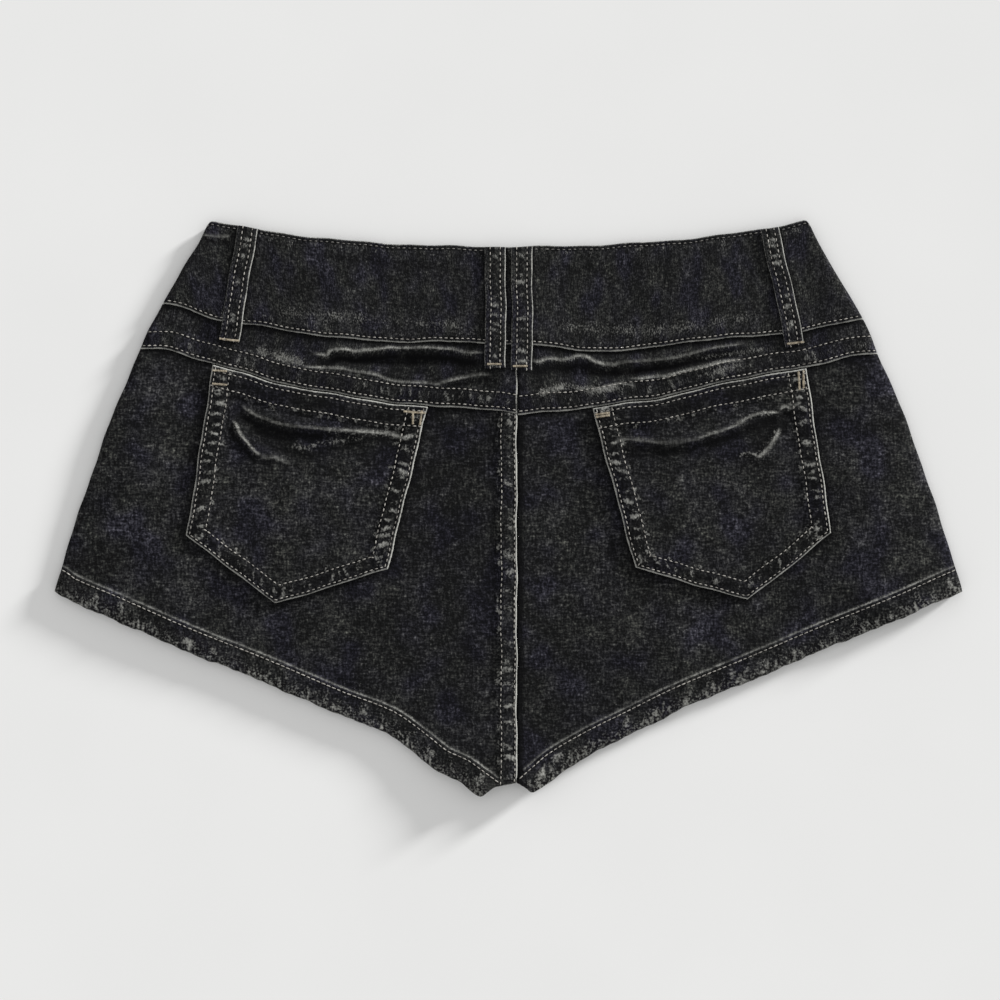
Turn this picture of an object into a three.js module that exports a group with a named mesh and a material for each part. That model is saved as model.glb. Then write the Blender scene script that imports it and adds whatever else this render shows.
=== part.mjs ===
// Low-rise denim shorts, laid flat on their front with the back up, in one rigid body.
// Millimetres. +Z is up, +Y points to the waist and +X to the right of someone looking down at
// the back, which is the wearer's right. The origin is the middle of the outline, on the
// surface that the shorts lie on. The back of the shorts lies on the front, with the side
// seams in the folds at the two sides.
import * as THREE from "three";

// Cloth
const CLOTH = 1.2; // one layer of stretch denim, seam allowances pressed in
const BAND_WALL = 2.4; // waistband, two layers
const HEM_WALL = 2.6; // hem, turned up twice
const FELL_WALL = 2.2; // felled seam, four thin layers pressed flat
const GAP = 0.3; // between two pieces at a seam or one on the other

// Seams and edges
const HEM_DEPTH = 15; // measured down the panel
const YOKE_FELL = 12; // the felled strip along the yoke's lower edge
const CENTRE_FELL = 10.2; // the felled strip down the centre back
const CENTRE_EDGE = 5.2; // the felled strip's free edge, right of the middle
const POCKET_HEM = 13.5; // the turned top of a patch pocket
const POCKET_TURN = 11; // the turned sides and bottom of a patch pocket
const STEP = 1; // over which a wall changes its thickness
const HEM_CROWDING = 1.6; // draws a panel's sections towards the tip of the leg

// How the two layers lie
const FOLD = 4.5; // how far a side fold rounds inwards
const SIDE_LEVEL = 2.7; // height of the side seam in the fold
const BACK_LEVEL = 3; // lowest underside of the back, just clear of the front's hem
const FOLD_TURNS = [0, 30, 60, 90]; // degrees round the fold
// Both layers curl up off the surface at the crotch, where the thick seams meet
const CURL = { y: -176, across: 52, along: 30, height: 5, least: 0.05 };
const LIFT = { x: 246, y: -62, across: 40, along: 22, height: 4 }; // the right corner of the back's hem

// Front, which the back hides
const FRONT_DIP = 38; // how much lower the front waist lies at the middle
const FRONT_BAND = 50; // height of the front waistband at the middle
const FRONT_HEM_RISE = 9; // how much higher the front is cut over the thigh
const FLY_EDGE = 3; // the fly's folded edge, right of the middle
const BAND_END = 16; // the buttoned end of the waistband, right of the middle
const FRONT_LOOP = { share: 0.45, half: 0.03, wall: 1.2 }; // place and half width along the front
const BUTTON = { x: 6, y: 96, radius: 8.5, thick: 2.4, clear: 13, blend: 11 };
const SHIELD = { from: -22, to: 24, top: 66, bottom: -16, wall: 1.2 }; // strip behind the fly

const DENIM = 0x28282a;
const METAL = 0x6f665a;

// Half width of the outline by height, the same on both sides.
const SIDE = [
  { y: -50, half: 272.5 },
  { y: -31, half: 267.3 },
  { y: -7, half: 259.5 },
  { y: 17, half: 251.6 },
  { y: 41, half: 243.2 },
  { y: 65, half: 234 },
  { y: 89, half: 223.8 },
  { y: 113, half: 213.2 },
  { y: 137, half: 199.4 },
  { y: 157, half: 187.6 },
  { y: 169, half: 181.5 },
];

// Upper edge of the back waistband, by distance from the middle.
const WAIST = [
  { x: 0, left: 156.8, right: 156.8 },
  { x: 30, left: 157.3, right: 157.3 },
  { x: 50, left: 157.8, right: 157.8 },
  { x: 77, left: 159.2, right: 159.2 },
  { x: 101, left: 161, right: 161 },
  { x: 126, left: 163.7, right: 163.7 },
  { x: 147, left: 166.8, right: 166.8 },
  { x: 165, left: 169.8, right: 169.8 },
  { x: 175, left: 171.9, right: 171.9 },
  { x: 178.5, left: 172.2, right: 172.2 },
  { x: 181.5, left: 169, right: 169 },
];

// Lower edge of the back waistband.
const BAND = [
  { x: 0, left: 97.8, right: 97.8 },
  { x: 16, left: 98.4, right: 97.2 },
  { x: 40, left: 99.2, right: 94.6 },
  { x: 60, left: 99, right: 93.6 },
  { x: 80, left: 99.7, right: 94.9 },
  { x: 100, left: 101.3, right: 98.4 },
  { x: 125, left: 104.4, right: 101 },
  { x: 150, left: 108.6, right: 103 },
  { x: 175, left: 112, right: 105.8 },
  { x: 185, left: 115.6, right: 107.6 },
  { x: 196, left: 119.4, right: 110 },
  { x: 213, left: 123.2, right: 113.4 },
];

// Lower edge of the yoke.
const YOKE = [
  { x: -6, left: 56, right: 56 },
  { x: 5, left: 57.9, right: 55.6 },
  { x: 22, left: 59.9, right: 57.6 },
  { x: 47, left: 60.9, right: 59.7 },
  { x: 67, left: 62.8, right: 63 },
  { x: 91, left: 66.6, right: 66.3 },
  { x: 115, left: 70.5, right: 72 },
  { x: 139, left: 75.5, right: 77.4 },
  { x: 163, left: 82.6, right: 82.2 },
  { x: 185, left: 88.8, right: 85 },
  { x: 205, left: 94.6, right: 90.8 },
  { x: 222, left: 95.4, right: 93 },
];

// Lower edge of the back, from the crotch over the tip of the leg and along the hem.
const HEM = [
  { x: -6, left: -164.4, right: -164.4 },
  { x: 0, left: -165.7, right: -164.4 },
  { x: 5.5, left: -166.7, right: -164.8 },
  { x: 8, left: -167.4, right: -166.2 },
  { x: 11, left: -169.3, right: -168.2 },
  { x: 14.5, left: -171.8, right: -170.8 },
  { x: 17, left: -172.2, right: -170.2 },
  { x: 20, left: -170.9, right: -168 },
  { x: 24, left: -167.6, right: -165 },
  { x: 30, left: -163.5, right: -159.6 },
  { x: 44, left: -157, right: -151 },
  { x: 59, left: -145.4, right: -143 },
  { x: 75, left: -134.2, right: -135.2 },
  { x: 105, left: -122.6, right: -120.4 },
  { x: 150, left: -103.4, right: -101.8 },
  { x: 195, left: -85.4, right: -82.6 },
  { x: 240, left: -65.6, right: -64 },
  { x: 266, left: -54.6, right: -52.6 },
  { x: 272.5, left: -50, right: -50 },
];
const TIP = { left: 17, right: 14.5 }; // where the hem ends at the inside leg

// Corners of the patch pockets, by distance from the middle. The top runs along the yoke.
const POCKET = {
  left: {
    outerTop: 177.2,
    innerTop: 48.2,
    innerBottom: [72.2, -36.6],
    point: [140, -57.6],
    outerBottom: [192.8, -16.2],
  },
  right: {
    outerTop: 178.6,
    innerTop: 50.2,
    innerBottom: [76, -36],
    point: [143.8, -55.2],
    outerBottom: [193.6, -15],
  },
};

// Belt loops on the back: centre line from the waist edge down, and width. rest is the wall
// of the yoke under the lower end.
const LOOPS = [
  { name: "belt_loop_left", top: [-156.2, 168], foot: [-167.6, 100.4], width: 12.2, rest: CLOTH },
  { name: "belt_loop_centre_left", top: [-7.7, 156.6], foot: [-7.7, 84], width: 12.4, rest: FELL_WALL },
  { name: "belt_loop_centre_right", top: [8.2, 156.6], foot: [8.2, 82.4], width: 12.6, rest: FELL_WALL },
  { name: "belt_loop_right", top: [156.6, 167.8], foot: [172.2, 97.6], width: 11.2, rest: CLOTH },
];

// Where air and the front's thick seams lift the back: soft mounds, the same on both sides.
const SWELLS = [
  { x: 0, y: 94, across: 46, along: 40, height: 2.7 }, // over the front button
  { x: 114, y: 108, across: 34, along: 46, height: 1.9 }, // over a front belt loop
  { x: 125, y: 18, across: 62, along: 46, height: 1.3 }, // seat, under the pocket
  { x: 60, y: -55, across: 60, along: 55, height: 1.2 }, // seat, below the pocket
  { x: 218, y: 15, across: 34, along: 85, height: 2.6 }, // full sides
  { x: 0, y: -20, across: 26, along: 90, height: 0.7 }, // centre back seam
];

// Largest folds. height is negative for a hollow. on says which piece carries the fold.
const FOLDS = [
  { on: "yoke", from: [-121, 92], via: [-70, 95.5], to: [-19, 93], width: 3, height: 1.5 },
  { on: "yoke", from: [-120, 87], via: [-70, 88], to: [-19, 88], width: 3.5, height: -0.8 },
  { on: "yoke", from: [-128, 87], via: [-86, 82.5], to: [-42, 75], width: 3, height: 1 },
  { on: "yoke", from: [-44, 75], via: [-32, 76], to: [-15, 80.5], width: 3, height: 0.9 },
  { on: "yoke", from: [20, 88.5], via: [60, 88], to: [105, 91.5], width: 3, height: 1.4 },
  { on: "yoke", from: [96, 91], via: [122, 94.5], to: [150, 97.5], width: 3, height: 1 },
  { on: "yoke", from: [20, 81], via: [60, 80], to: [125, 89.5], width: 3.5, height: -0.8 },
  { on: "yoke", from: [22, 70], via: [45, 73.8], to: [76, 75.5], width: 3, height: 1 },
  { on: "yoke", from: [76, 76.5], via: [108, 82.5], to: [142, 88.5], width: 3, height: 1.1 },
  { on: "pocket", from: [-161, 62], via: [-122, 49], to: [-63, 42], width: 4, height: 1.6 },
  { on: "pocket", from: [-164, 56], via: [-157, 40], to: [-134, 28], width: 4, height: 1.3 },
  { on: "pocket", from: [67, 37], via: [121, 42.5], to: [164, 58], width: 4, height: 1.6 },
  { on: "pocket", from: [140, 32], via: [154, 32], to: [163, 46], width: 4, height: 1.3 },
];

const { clamp, lerp, degToRad } = THREE.MathUtils;

// A smooth value between the rows of a table, by the column named key.
function between(rows, key, column, at) {
  const last = rows.length - 1;
  let i = 0;
  while (i < last - 1 && at > rows[i + 1][key]) i += 1;
  const slope = (n) => {
    const a = rows[Math.max(n - 1, 0)];
    const b = rows[Math.min(n + 1, last)];
    return (b[column] - a[column]) / (b[key] - a[key]);
  };
  const step = rows[i + 1][key] - rows[i][key];
  const t = clamp((at - rows[i][key]) / step, 0, 1);
  const fall = (1 + 2 * t) * (1 - t) ** 2;
  const curve = t * (1 - t) ** 2 * slope(i) - t ** 2 * (1 - t) * slope(i + 1);
  return fall * rows[i][column] + (1 - fall) * rows[i + 1][column] + step * curve;
}

// Distance from a point to a curve through three points, and how far along the curve that is.
function nearCurve(x, y, { from, via, to }, pieces = 10) {
  const at = (t) => [0, 1].map((k) => {
    const bend = 2 * via[k] - (from[k] + to[k]) / 2;
    return (1 - t) ** 2 * from[k] + 2 * t * (1 - t) * bend + t ** 2 * to[k];
  });
  let best = { distance: Infinity, share: 0 };
  for (let n = 0; n < pieces; n += 1) {
    const [a, b] = [at(n / pieces), at((n + 1) / pieces)];
    const [dx, dy] = [b[0] - a[0], b[1] - a[1]];
    const t = clamp(((x - a[0]) * dx + (y - a[1]) * dy) / (dx * dx + dy * dy), 0, 1);
    const distance = Math.hypot(x - a[0] - t * dx, y - a[1] - t * dy);
    if (distance < best.distance) best = { distance, share: (n + t) / pieces };
  }
  return best;
}

// Height that the folds of one kind of piece add at a point.
function foldHeight(on, x, y) {
  let height = 0;
  for (const fold of FOLDS.filter((row) => row.on === on)) {
    const { distance, share } = nearCurve(x, y, fold);
    const fade = Math.min(1, 4 * share, 4 * (1 - share));
    height += fold.height * fade * Math.exp(-((distance / fold.width) ** 2));
  }
  return height;
}

// How far both layers curl up at a point.
function curl(x, y) {
  const { across, along, height, least } = CURL;
  return Math.max(0, height * Math.exp(-((x / across) ** 2) - ((y - CURL.y) / along) ** 2) - least);
}

// Underside of the back layer at a point.
function backLie(x, y) {
  const corner = ((x - LIFT.x) / LIFT.across) ** 2 + ((y - LIFT.y) / LIFT.along) ** 2;
  let height = BACK_LEVEL + curl(x, y) + LIFT.height * Math.exp(-corner);
  for (const swell of SWELLS) {
    const across = (Math.abs(x) - swell.x) / swell.across;
    const along = (y - swell.y) / swell.along;
    height += swell.height * Math.exp(-(across ** 2) - along ** 2);
  }
  return height;
}

// A curve in plan from the side of the shorts to the middle, with its points crowded there.
const SAMPLES = 72;

function crossLine(side, fromX, toX, heightAt) {
  const sign = side === "left" ? -1 : 1;
  const points = [];
  for (let n = 0; n <= SAMPLES; n += 1) {
    const x = lerp(toX, fromX, (1 - n / SAMPLES) ** 1.5);
    points.push(new THREE.Vector2(sign * x, heightAt(x)));
  }
  return new THREE.SplineCurve(points);
}

function seamLine(rows, side, fromX, toX, shift = 0) {
  return crossLine(side, fromX, toX, (x) => between(rows, "x", side, x) + shift);
}

function sideLine(side, fromY, toY, rows = 8) {
  const sign = side === "left" ? -1 : 1;
  const points = [];
  for (let n = 0; n <= rows; n += 1) {
    const y = lerp(fromY, toY, n / rows);
    points.push(new THREE.Vector2(sign * between(SIDE, "y", "half", y), y));
  }
  return new THREE.SplineCurve(points);
}

function straight(a, b) {
  return new THREE.LineCurve(a, b);
}

// Two straight edges with a corner between them.
function cornered(a, corner, b) {
  const share = a.distanceTo(corner) / (a.distanceTo(corner) + corner.distanceTo(b));
  return {
    share,
    getPointAt: (u) =>
      u < share
        ? a.clone().lerp(corner, u / share)
        : corner.clone().lerp(b, (u - share) / (1 - share)),
  };
}

// The plan of a piece between four edges, as a function of u across and v down.
function patch(top, bottom, start, end) {
  const corners = [top.getPointAt(0), top.getPointAt(1), bottom.getPointAt(0), bottom.getPointAt(1)];
  return (u, v) => {
    const [t, b, s, e] = [top.getPointAt(u), bottom.getPointAt(u), start.getPointAt(v), end.getPointAt(v)];
    const mix = (axis) =>
      (1 - v) * t[axis] + v * b[axis] + (1 - u) * s[axis] + u * e[axis]
      - (1 - u) * (1 - v) * corners[0][axis] - u * (1 - v) * corners[1][axis]
      - (1 - u) * v * corners[2][axis] - u * v * corners[3][axis];
    return new THREE.Vector2(mix("x"), mix("y"));
  };
}

// Stations across a piece. Each gives where its outer and inner points lie, as shares of the
// width, how far the cloth has risen out of a side fold, and the least wall there.
const foldStation = (degrees, atEnd) => (width, wall) => {
  const swing = 1 - Math.cos(degToRad(degrees));
  const outer = (FOLD * swing) / width;
  const inner = (wall + (FOLD - wall) * swing) / width;
  const rise = Math.sin(degToRad(degrees));
  return atEnd ? { outer: 1 - outer, inner: 1 - inner, rise } : { outer, inner, rise };
};
const folds = (atEnd) => {
  const stations = FOLD_TURNS.map((degrees) => foldStation(degrees, atEnd));
  return atEnd ? stations.reverse() : stations;
};
const spanStation = (share, before, after, wall = 0) => (width) => {
  const u = (before + share * (width - before - after)) / width;
  return { outer: u, inner: u, rise: 1, wall };
};
const spans = (count, before, after, crowding = 1) =>
  Array.from({ length: count }, (_, n) => {
    const share = 1 - (1 - (n + 1) / (count + 1)) ** crowding;
    return spanStation(share, before, after);
  });
const fromStart = (distance, wall = 0) => spanStation(0, distance, 0, wall);
const fromEnd = (distance, wall = 0) => spanStation(1, 0, distance, wall);
const atShare = (share) => () => ({ outer: share, inner: share, rise: 1, wall: 0 });

// Rows down a piece: v as a share of the length, and the wall.
const row = (share, before, after, wall) => ({
  at: (length) => (before + share * (length - before - after)) / length,
  wall,
});
const rowsBetween = (count, before, after, wall) =>
  Array.from({ length: count }, (_, n) => row((n + 1) / (count + 1), before, after, wall));

// A closed wall between an outer and an inner grid of points, [column][row].
function wallGeometry(outer, inner, outwards) {
  const [columns, rows] = [outer.length, outer[0].length];
  const points = [...outer.flat(), ...inner.flat()];
  const index = (layer, i, j) => layer * columns * rows + i * rows + j;
  const faces = [];
  const quad = (a, b, c, d) => {
    faces.push(outwards ? [a, b, c] : [a, c, b], outwards ? [a, c, d] : [a, d, c]);
  };
  for (let i = 0; i < columns - 1; i += 1) {
    for (let j = 0; j < rows - 1; j += 1) {
      quad(index(0, i, j), index(0, i, j + 1), index(0, i + 1, j + 1), index(0, i + 1, j));
      quad(index(1, i, j), index(1, i + 1, j), index(1, i + 1, j + 1), index(1, i, j + 1));
    }
    for (const j of [0, rows - 1]) {
      const [a, b] = j ? [i + 1, i] : [i, i + 1];
      quad(index(0, a, j), index(0, b, j), index(1, b, j), index(1, a, j));
    }
  }
  for (let j = 0; j < rows - 1; j += 1) {
    for (const i of [0, columns - 1]) {
      const [a, b] = i ? [j, j + 1] : [j + 1, j];
      quad(index(0, i, a), index(0, i, b), index(1, i, b), index(1, i, a));
    }
  }
  const geometry = new THREE.BufferGeometry();
  const positions = points.flatMap((p) => [p.x, p.y, p.z]);
  geometry.setAttribute("position", new THREE.Float32BufferAttribute(positions, 3));
  geometry.setIndex(faces.flat());
  geometry.computeVertexNormals();
  return geometry;
}

// Cloth laid over a plan. under(p, u) is the height of its lower side where it is out of a
// fold. The outer side is the upper one on the back and the lower one on the front.
function layCloth({ plan, columns, rows, under, front = false }) {
  const sideLevel = front ? SIDE_LEVEL - GAP : SIDE_LEVEL;
  const grids = [[], []];
  for (const column of columns) {
    const lines = [[], []];
    for (const { at, wall: rowWall } of rows) {
      const guess = column(plan(0, 0.5).distanceTo(plan(1, 0.5)), rowWall).outer;
      const v = at(plan(guess, 0).distanceTo(plan(guess, 1)));
      const width = plan(0, v).distanceTo(plan(1, v));
      const wall = Math.max(rowWall, column(width, rowWall).wall ?? 0);
      const station = column(width, wall);
      for (const [n, u] of [station.outer, station.inner].entries()) {
        const p = plan(u, v);
        const isUpper = (n === 0) !== front;
        const z = under(p, u) + (isUpper ? wall : 0);
        lines[n].push(new THREE.Vector3(p.x, p.y, lerp(sideLevel, z, station.rise)));
      }
    }
    grids.forEach((grid, n) => grid.push(lines[n]));
  }
  return { outer: grids[0], inner: grids[1] };
}

// Outer faces of the back point up when the columns run to +X, and the other way round if not.
function clothGeometry(options) {
  const { outer, inner } = layCloth(options);
  const alongX = outer.at(-1)[0].x > outer[0][0].x;
  return wallGeometry(outer, inner, alongX !== Boolean(options.front));
}

const part = new THREE.Group();
part.name = "denim_shorts";

function addPiece(name, geometry, color = DENIM, metalness = 0) {
  const roughness = metalness ? 0.45 : 0.92;
  const mesh = new THREE.Mesh(geometry, new THREE.MeshStandardMaterial({ color, roughness, metalness }));
  mesh.name = name;
  part.add(mesh);
  return mesh;
}

const sideX = (y) => between(SIDE, "y", "half", y);
const bandSide = { left: 122.8, right: 113.3 };
const yokeSide = { left: 95.4, right: 93 };
const hemSide = -50;
const waistCorner = { x: 181.5, y: 169 };

// One line right across the back, from the left fold to the right one.
function acrossBack(left, right) {
  const [leftShare, rightShare] = [left.getLength(), right.getLength()];
  const share = leftShare / (leftShare + rightShare);
  return {
    getPointAt: (u) =>
      u < share ? left.getPointAt(u / share) : right.getPointAt((1 - u) / (1 - share)),
  };
}

function backWaistband() {
  const line = (rows, side, x) => seamLine(rows, side, x, 0);
  const top = acrossBack(line(WAIST, "left", waistCorner.x), line(WAIST, "right", waistCorner.x));
  const bottom = acrossBack(
    line(BAND, "left", sideX(bandSide.left)),
    line(BAND, "right", sideX(bandSide.right)),
  );
  const edge = (side) => sideLine(side, waistCorner.y, bandSide[side]);
  return clothGeometry({
    plan: patch(top, bottom, edge("left"), edge("right")),
    columns: [...folds(false), ...spans(27, FOLD, FOLD), ...folds(true)],
    rows: [0, 0.25, 0.5, 0.75, 1].map((at) => row(at, 0, 0, BAND_WALL)),
    under: (p) => backLie(p.x, p.y),
  });
}

function middleX(side) {
  return side === "left" ? -CENTRE_EDGE : CENTRE_EDGE + GAP;
}

function backYoke(side) {
  const [fromTop, fromBottom] = [sideX(bandSide[side] - GAP), sideX(yokeSide[side])];
  const top = seamLine(BAND, side, fromTop, Math.max(middleX(side), 0), -GAP);
  const bottom = seamLine(YOKE, side, fromBottom, middleX(side));
  const topEnd = new THREE.Vector2(bottom.getPointAt(1).x, top.getPointAt(1).y);
  top.points.push(topEnd);
  const plan = patch(
    top,
    bottom,
    sideLine(side, bandSide[side] - GAP, yokeSide[side]),
    straight(topEnd, bottom.getPointAt(1)),
  );
  const centreStrip = [fromEnd(CENTRE_FELL + STEP), fromEnd(CENTRE_FELL, FELL_WALL), fromEnd(0, FELL_WALL)];
  const before = FOLD;
  const after = CENTRE_FELL + STEP;
  return clothGeometry({
    plan,
    columns: [
      ...folds(false),
      ...spans(22, before, after),
      ...(side === "left" ? centreStrip : [fromEnd(after), fromEnd(0)]),
    ],
    rows: [
      row(0, 0, YOKE_FELL, CLOTH),
      ...rowsBetween(4, 0, YOKE_FELL + STEP, CLOTH),
      row(1, 0, YOKE_FELL + STEP, CLOTH),
      row(1, 0, YOKE_FELL, FELL_WALL),
      row(1, 0, YOKE_FELL / 2, FELL_WALL),
      row(1, 0, 0, FELL_WALL),
    ],
    under: (p) => backLie(p.x, p.y) + foldHeight("yoke", p.x, p.y),
  });
}

function hemRows(count) {
  return [
    row(0, 0, HEM_DEPTH, CLOTH),
    ...rowsBetween(count, 0, HEM_DEPTH + STEP, CLOTH),
    row(1, 0, HEM_DEPTH + STEP, CLOTH),
    row(1, 0, HEM_DEPTH, HEM_WALL),
    row(1, 0, HEM_DEPTH / 2, HEM_WALL),
    row(1, 0, 0, HEM_WALL),
  ];
}

function backPanel(side) {
  const top = seamLine(YOKE, side, sideX(yokeSide[side] - GAP), middleX(side), -GAP);
  const bottom = seamLine(HEM, side, sideX(hemSide), middleX(side));
  const centreStrip = [fromEnd(CENTRE_FELL + STEP), fromEnd(CENTRE_FELL, FELL_WALL), fromEnd(0, FELL_WALL)];
  const after = CENTRE_FELL + STEP;
  return clothGeometry({
    plan: patch(
      top,
      bottom,
      sideLine(side, yokeSide[side] - GAP, hemSide),
      straight(top.getPointAt(1), bottom.getPointAt(1)),
    ),
    columns: [
      ...folds(false),
      ...spans(20, FOLD, after, HEM_CROWDING),
      ...(side === "left" ? centreStrip : [fromEnd(after), fromEnd(0)]),
    ],
    rows: hemRows(7),
    under: (p) => backLie(p.x, p.y),
  });
}

function backPocket(side) {
  const sign = side === "left" ? -1 : 1;
  const corner = (name) => new THREE.Vector2(sign * POCKET[side][name][0], POCKET[side][name][1]);
  const top = seamLine(YOKE, side, POCKET[side].outerTop, POCKET[side].innerTop, -2 * GAP);
  const bottom = cornered(corner("outerBottom"), corner("point"), corner("innerBottom"));
  const [thin, thick] = [CLOTH, FELL_WALL];
  const inside = 0.08; // share of the width that a turned side takes up
  return clothGeometry({
    plan: patch(
      top,
      bottom,
      straight(top.getPointAt(0), corner("outerBottom")),
      straight(top.getPointAt(1), corner("innerBottom")),
    ),
    columns: [
      fromStart(0, thick),
      fromStart(POCKET_TURN, thick),
      fromStart(POCKET_TURN + STEP),
      ...[0.25, 0.5, 0.75].map((at) => atShare(lerp(inside, bottom.share, at))),
      atShare(bottom.share),
      ...[0.2, 0.4, 0.6, 0.8].map((at) => atShare(lerp(bottom.share, 1 - inside, at))),
      fromEnd(POCKET_TURN + STEP),
      fromEnd(POCKET_TURN, thick),
      fromEnd(0, thick),
    ],
    rows: [
      row(0, 0, 0, thick),
      row(0, POCKET_HEM, 0, thick),
      row(0, POCKET_HEM + STEP, 0, thin),
      ...rowsBetween(9, POCKET_HEM + STEP, POCKET_TURN + STEP, thin),
      row(1, 0, POCKET_TURN + STEP, thin),
      row(1, 0, POCKET_TURN, thick),
      row(1, 0, 0, thick),
    ],
    under: (p) => backLie(p.x, p.y) + CLOTH + GAP + foldHeight("pocket", p.x, p.y),
  });
}

// A strip of cloth between the ends of a loop, over the waistband and down onto the yoke.
function beltLoop({ top, foot, width, rest }) {
  const [a, b] = [new THREE.Vector2(...top), new THREE.Vector2(...foot)];
  const across = b.clone().sub(a).normalize().rotateAround(new THREE.Vector2(), Math.PI / 2);
  const corner = (end, share) => end.clone().addScaledVector(across, share * width);
  const side = a.x < 0 ? "left" : "right";
  const seam = between(BAND, "x", side, Math.abs(b.x));
  const length = a.distanceTo(b);
  const offBand = (a.y - seam) / (a.y - b.y);
  const level = (v) => {
    const past = (v - offBand) * length;
    return lerp(BAND_WALL, rest, clamp((past - 2) / 3, 0, 1)) + GAP;
  };
  const plan = patch(
    straight(corner(a, -0.5), corner(a, 0.5)),
    straight(corner(b, -0.5), corner(b, 0.5)),
    straight(corner(a, -0.5), corner(b, -0.5)),
    straight(corner(a, 0.5), corner(b, 0.5)),
  );
  const shares = [0, 0.15, 0.3, 0.45, 0.6, offBand, offBand + 2 / length, offBand + 5 / length, 1];
  return clothGeometry({
    plan,
    columns: [atShare(0), atShare(0.5), atShare(1)],
    rows: shares.map((at) => row(at, 0, 0, CLOTH)),
    under: (p) => backLie(p.x, p.y) + level((a.y - p.y) / (a.y - b.y)),
  });
}

// Front edges: the waist dips at the middle, and the hem is cut higher over the thigh.
function frontWaistY(side, x) {
  const dip = FRONT_DIP * (1 - (x / waistCorner.x) ** 2);
  return between(WAIST, "x", side, Math.abs(x)) - dip;
}

function frontBandY(side, x) {
  const atSide = bandSide[side];
  const atMiddle = frontWaistY(side, 0) - FRONT_BAND;
  return lerp(atMiddle, atSide, (x / sideX(atSide)) ** 2);
}

function frontBandPlan(side) {
  const end = side === "left" ? -BAND_END : BAND_END + GAP;
  const top = crossLine(side, waistCorner.x, end, (x) => frontWaistY(side, x));
  const bottom = crossLine(side, sideX(bandSide[side]), end, (x) => frontBandY(side, x));
  return patch(
    top,
    bottom,
    sideLine(side, waistCorner.y, bandSide[side]),
    straight(top.getPointAt(1), bottom.getPointAt(1)),
  );
}

// How far the front waistband stands off the surface, over the button and the belt loops.
function bandLift(side) {
  return (p, u) => {
    const fromButton = Math.hypot(p.x - BUTTON.x, p.y - BUTTON.y) - BUTTON.clear;
    const overButton = (BUTTON.thick + GAP) * clamp(1 - fromButton / BUTTON.blend, 0, 1);
    const fromLoop = Math.abs(u - FRONT_LOOP.share) - FRONT_LOOP.half * 1.3;
    const overLoop = (FRONT_LOOP.wall + GAP) * clamp(1 - fromLoop / FRONT_LOOP.half, 0, 1);
    return Math.max(overButton, overLoop);
  };
}

function frontWaistband(side) {
  const { share, half } = FRONT_LOOP;
  const loopShares = [-2.3, -1.3, 1.3, 2.3].map((k) => share + k * half);
  const middle = [0.6, 0.68, 0.76, 0.82, 0.87, 0.91, 0.955, 1];
  const shares = [0.1, 0.2, 0.3, ...loopShares, ...middle];
  const rowShares = [0, 0.14, 0.28, 0.42, 0.58, 0.78, 1]; // close together by the button
  return clothGeometry({
    plan: frontBandPlan(side),
    columns: [...folds(false), ...shares.map(atShare)],
    rows: rowShares.map((at) => row(at, 0, 0, BAND_WALL)),
    under: bandLift(side),
    front: true,
  });
}

function frontLoop(side) {
  const plan = frontBandPlan(side);
  const { share, half, wall } = FRONT_LOOP;
  return clothGeometry({
    plan: (u, v) => plan(lerp(share - half, share + half, u), lerp(0.01, 0.99, v)),
    columns: [atShare(0), atShare(1)],
    rows: [0, 0.25, 0.5, 0.75, 1].map((at) => row(at, 0, 0, wall)),
    under: () => 0,
    front: true,
  });
}

function frontPanel(side) {
  const end = side === "left" ? -FLY_EDGE : FLY_EDGE + GAP;
  const hemY = (x) => {
    const share = clamp((x - TIP[side]) / (sideX(hemSide) - TIP[side]), 0, 1);
    return between(HEM, "x", side, x) + FRONT_HEM_RISE * Math.sin(Math.PI * share);
  };
  const top = crossLine(side, sideX(bandSide[side] - GAP), end, (x) => frontBandY(side, x) - GAP);
  const bottom = crossLine(side, sideX(hemSide), end, hemY);
  return clothGeometry({
    plan: patch(
      top,
      bottom,
      sideLine(side, bandSide[side] - GAP, hemSide),
      straight(top.getPointAt(1), bottom.getPointAt(1)),
    ),
    columns: [...folds(false), ...spans(18, FOLD, 0, HEM_CROWDING), fromEnd(0)],
    rows: hemRows(5),
    under: (p) => curl(p.x, p.y),
    front: true,
  });
}

function waistButton() {
  const { radius, thick } = BUTTON;
  const profile = [
    [0, 0], [0.72, 0], [0.93, 0.18], [1, 0.5], [0.96, 0.82], [0.82, 1], [0, 1],
  ].map(([r, z]) => new THREE.Vector2(r * radius, z * thick));
  return new THREE.LatheGeometry(profile, 28).rotateX(Math.PI / 2);
}

// A strip of cloth behind the fly, rounded at its lower outer corner.
function flyShield() {
  const { from, to, top, bottom, wall } = SHIELD;
  const radius = (to - from) * 0.6;
  const outline = new THREE.Shape();
  outline.moveTo(from, top);
  outline.lineTo(from, bottom + radius);
  outline.quadraticCurveTo(from, bottom, from + radius, bottom);
  outline.lineTo(to, bottom);
  outline.lineTo(to, top);
  outline.closePath();
  return new THREE.ExtrudeGeometry(outline, { depth: wall, bevelEnabled: false, curveSegments: 8 });
}

for (const side of ["left", "right"]) {
  addPiece(`back_panel_${side}`, backPanel(side));
  addPiece(`back_yoke_${side}`, backYoke(side));
  addPiece(`back_pocket_${side}`, backPocket(side));
  addPiece(`front_panel_${side}`, frontPanel(side));
  addPiece(`front_waistband_${side}`, frontWaistband(side));
  addPiece(`front_belt_loop_${side}`, frontLoop(side));
}
addPiece("back_waistband", backWaistband());
for (const loop of LOOPS) addPiece(loop.name, beltLoop(loop));

addPiece("fly_shield", flyShield()).position.z = CLOTH + GAP;
addPiece("waist_button", waistButton(), METAL, 0.9).position.set(BUTTON.x, BUTTON.y, 0);

export default part;
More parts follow.
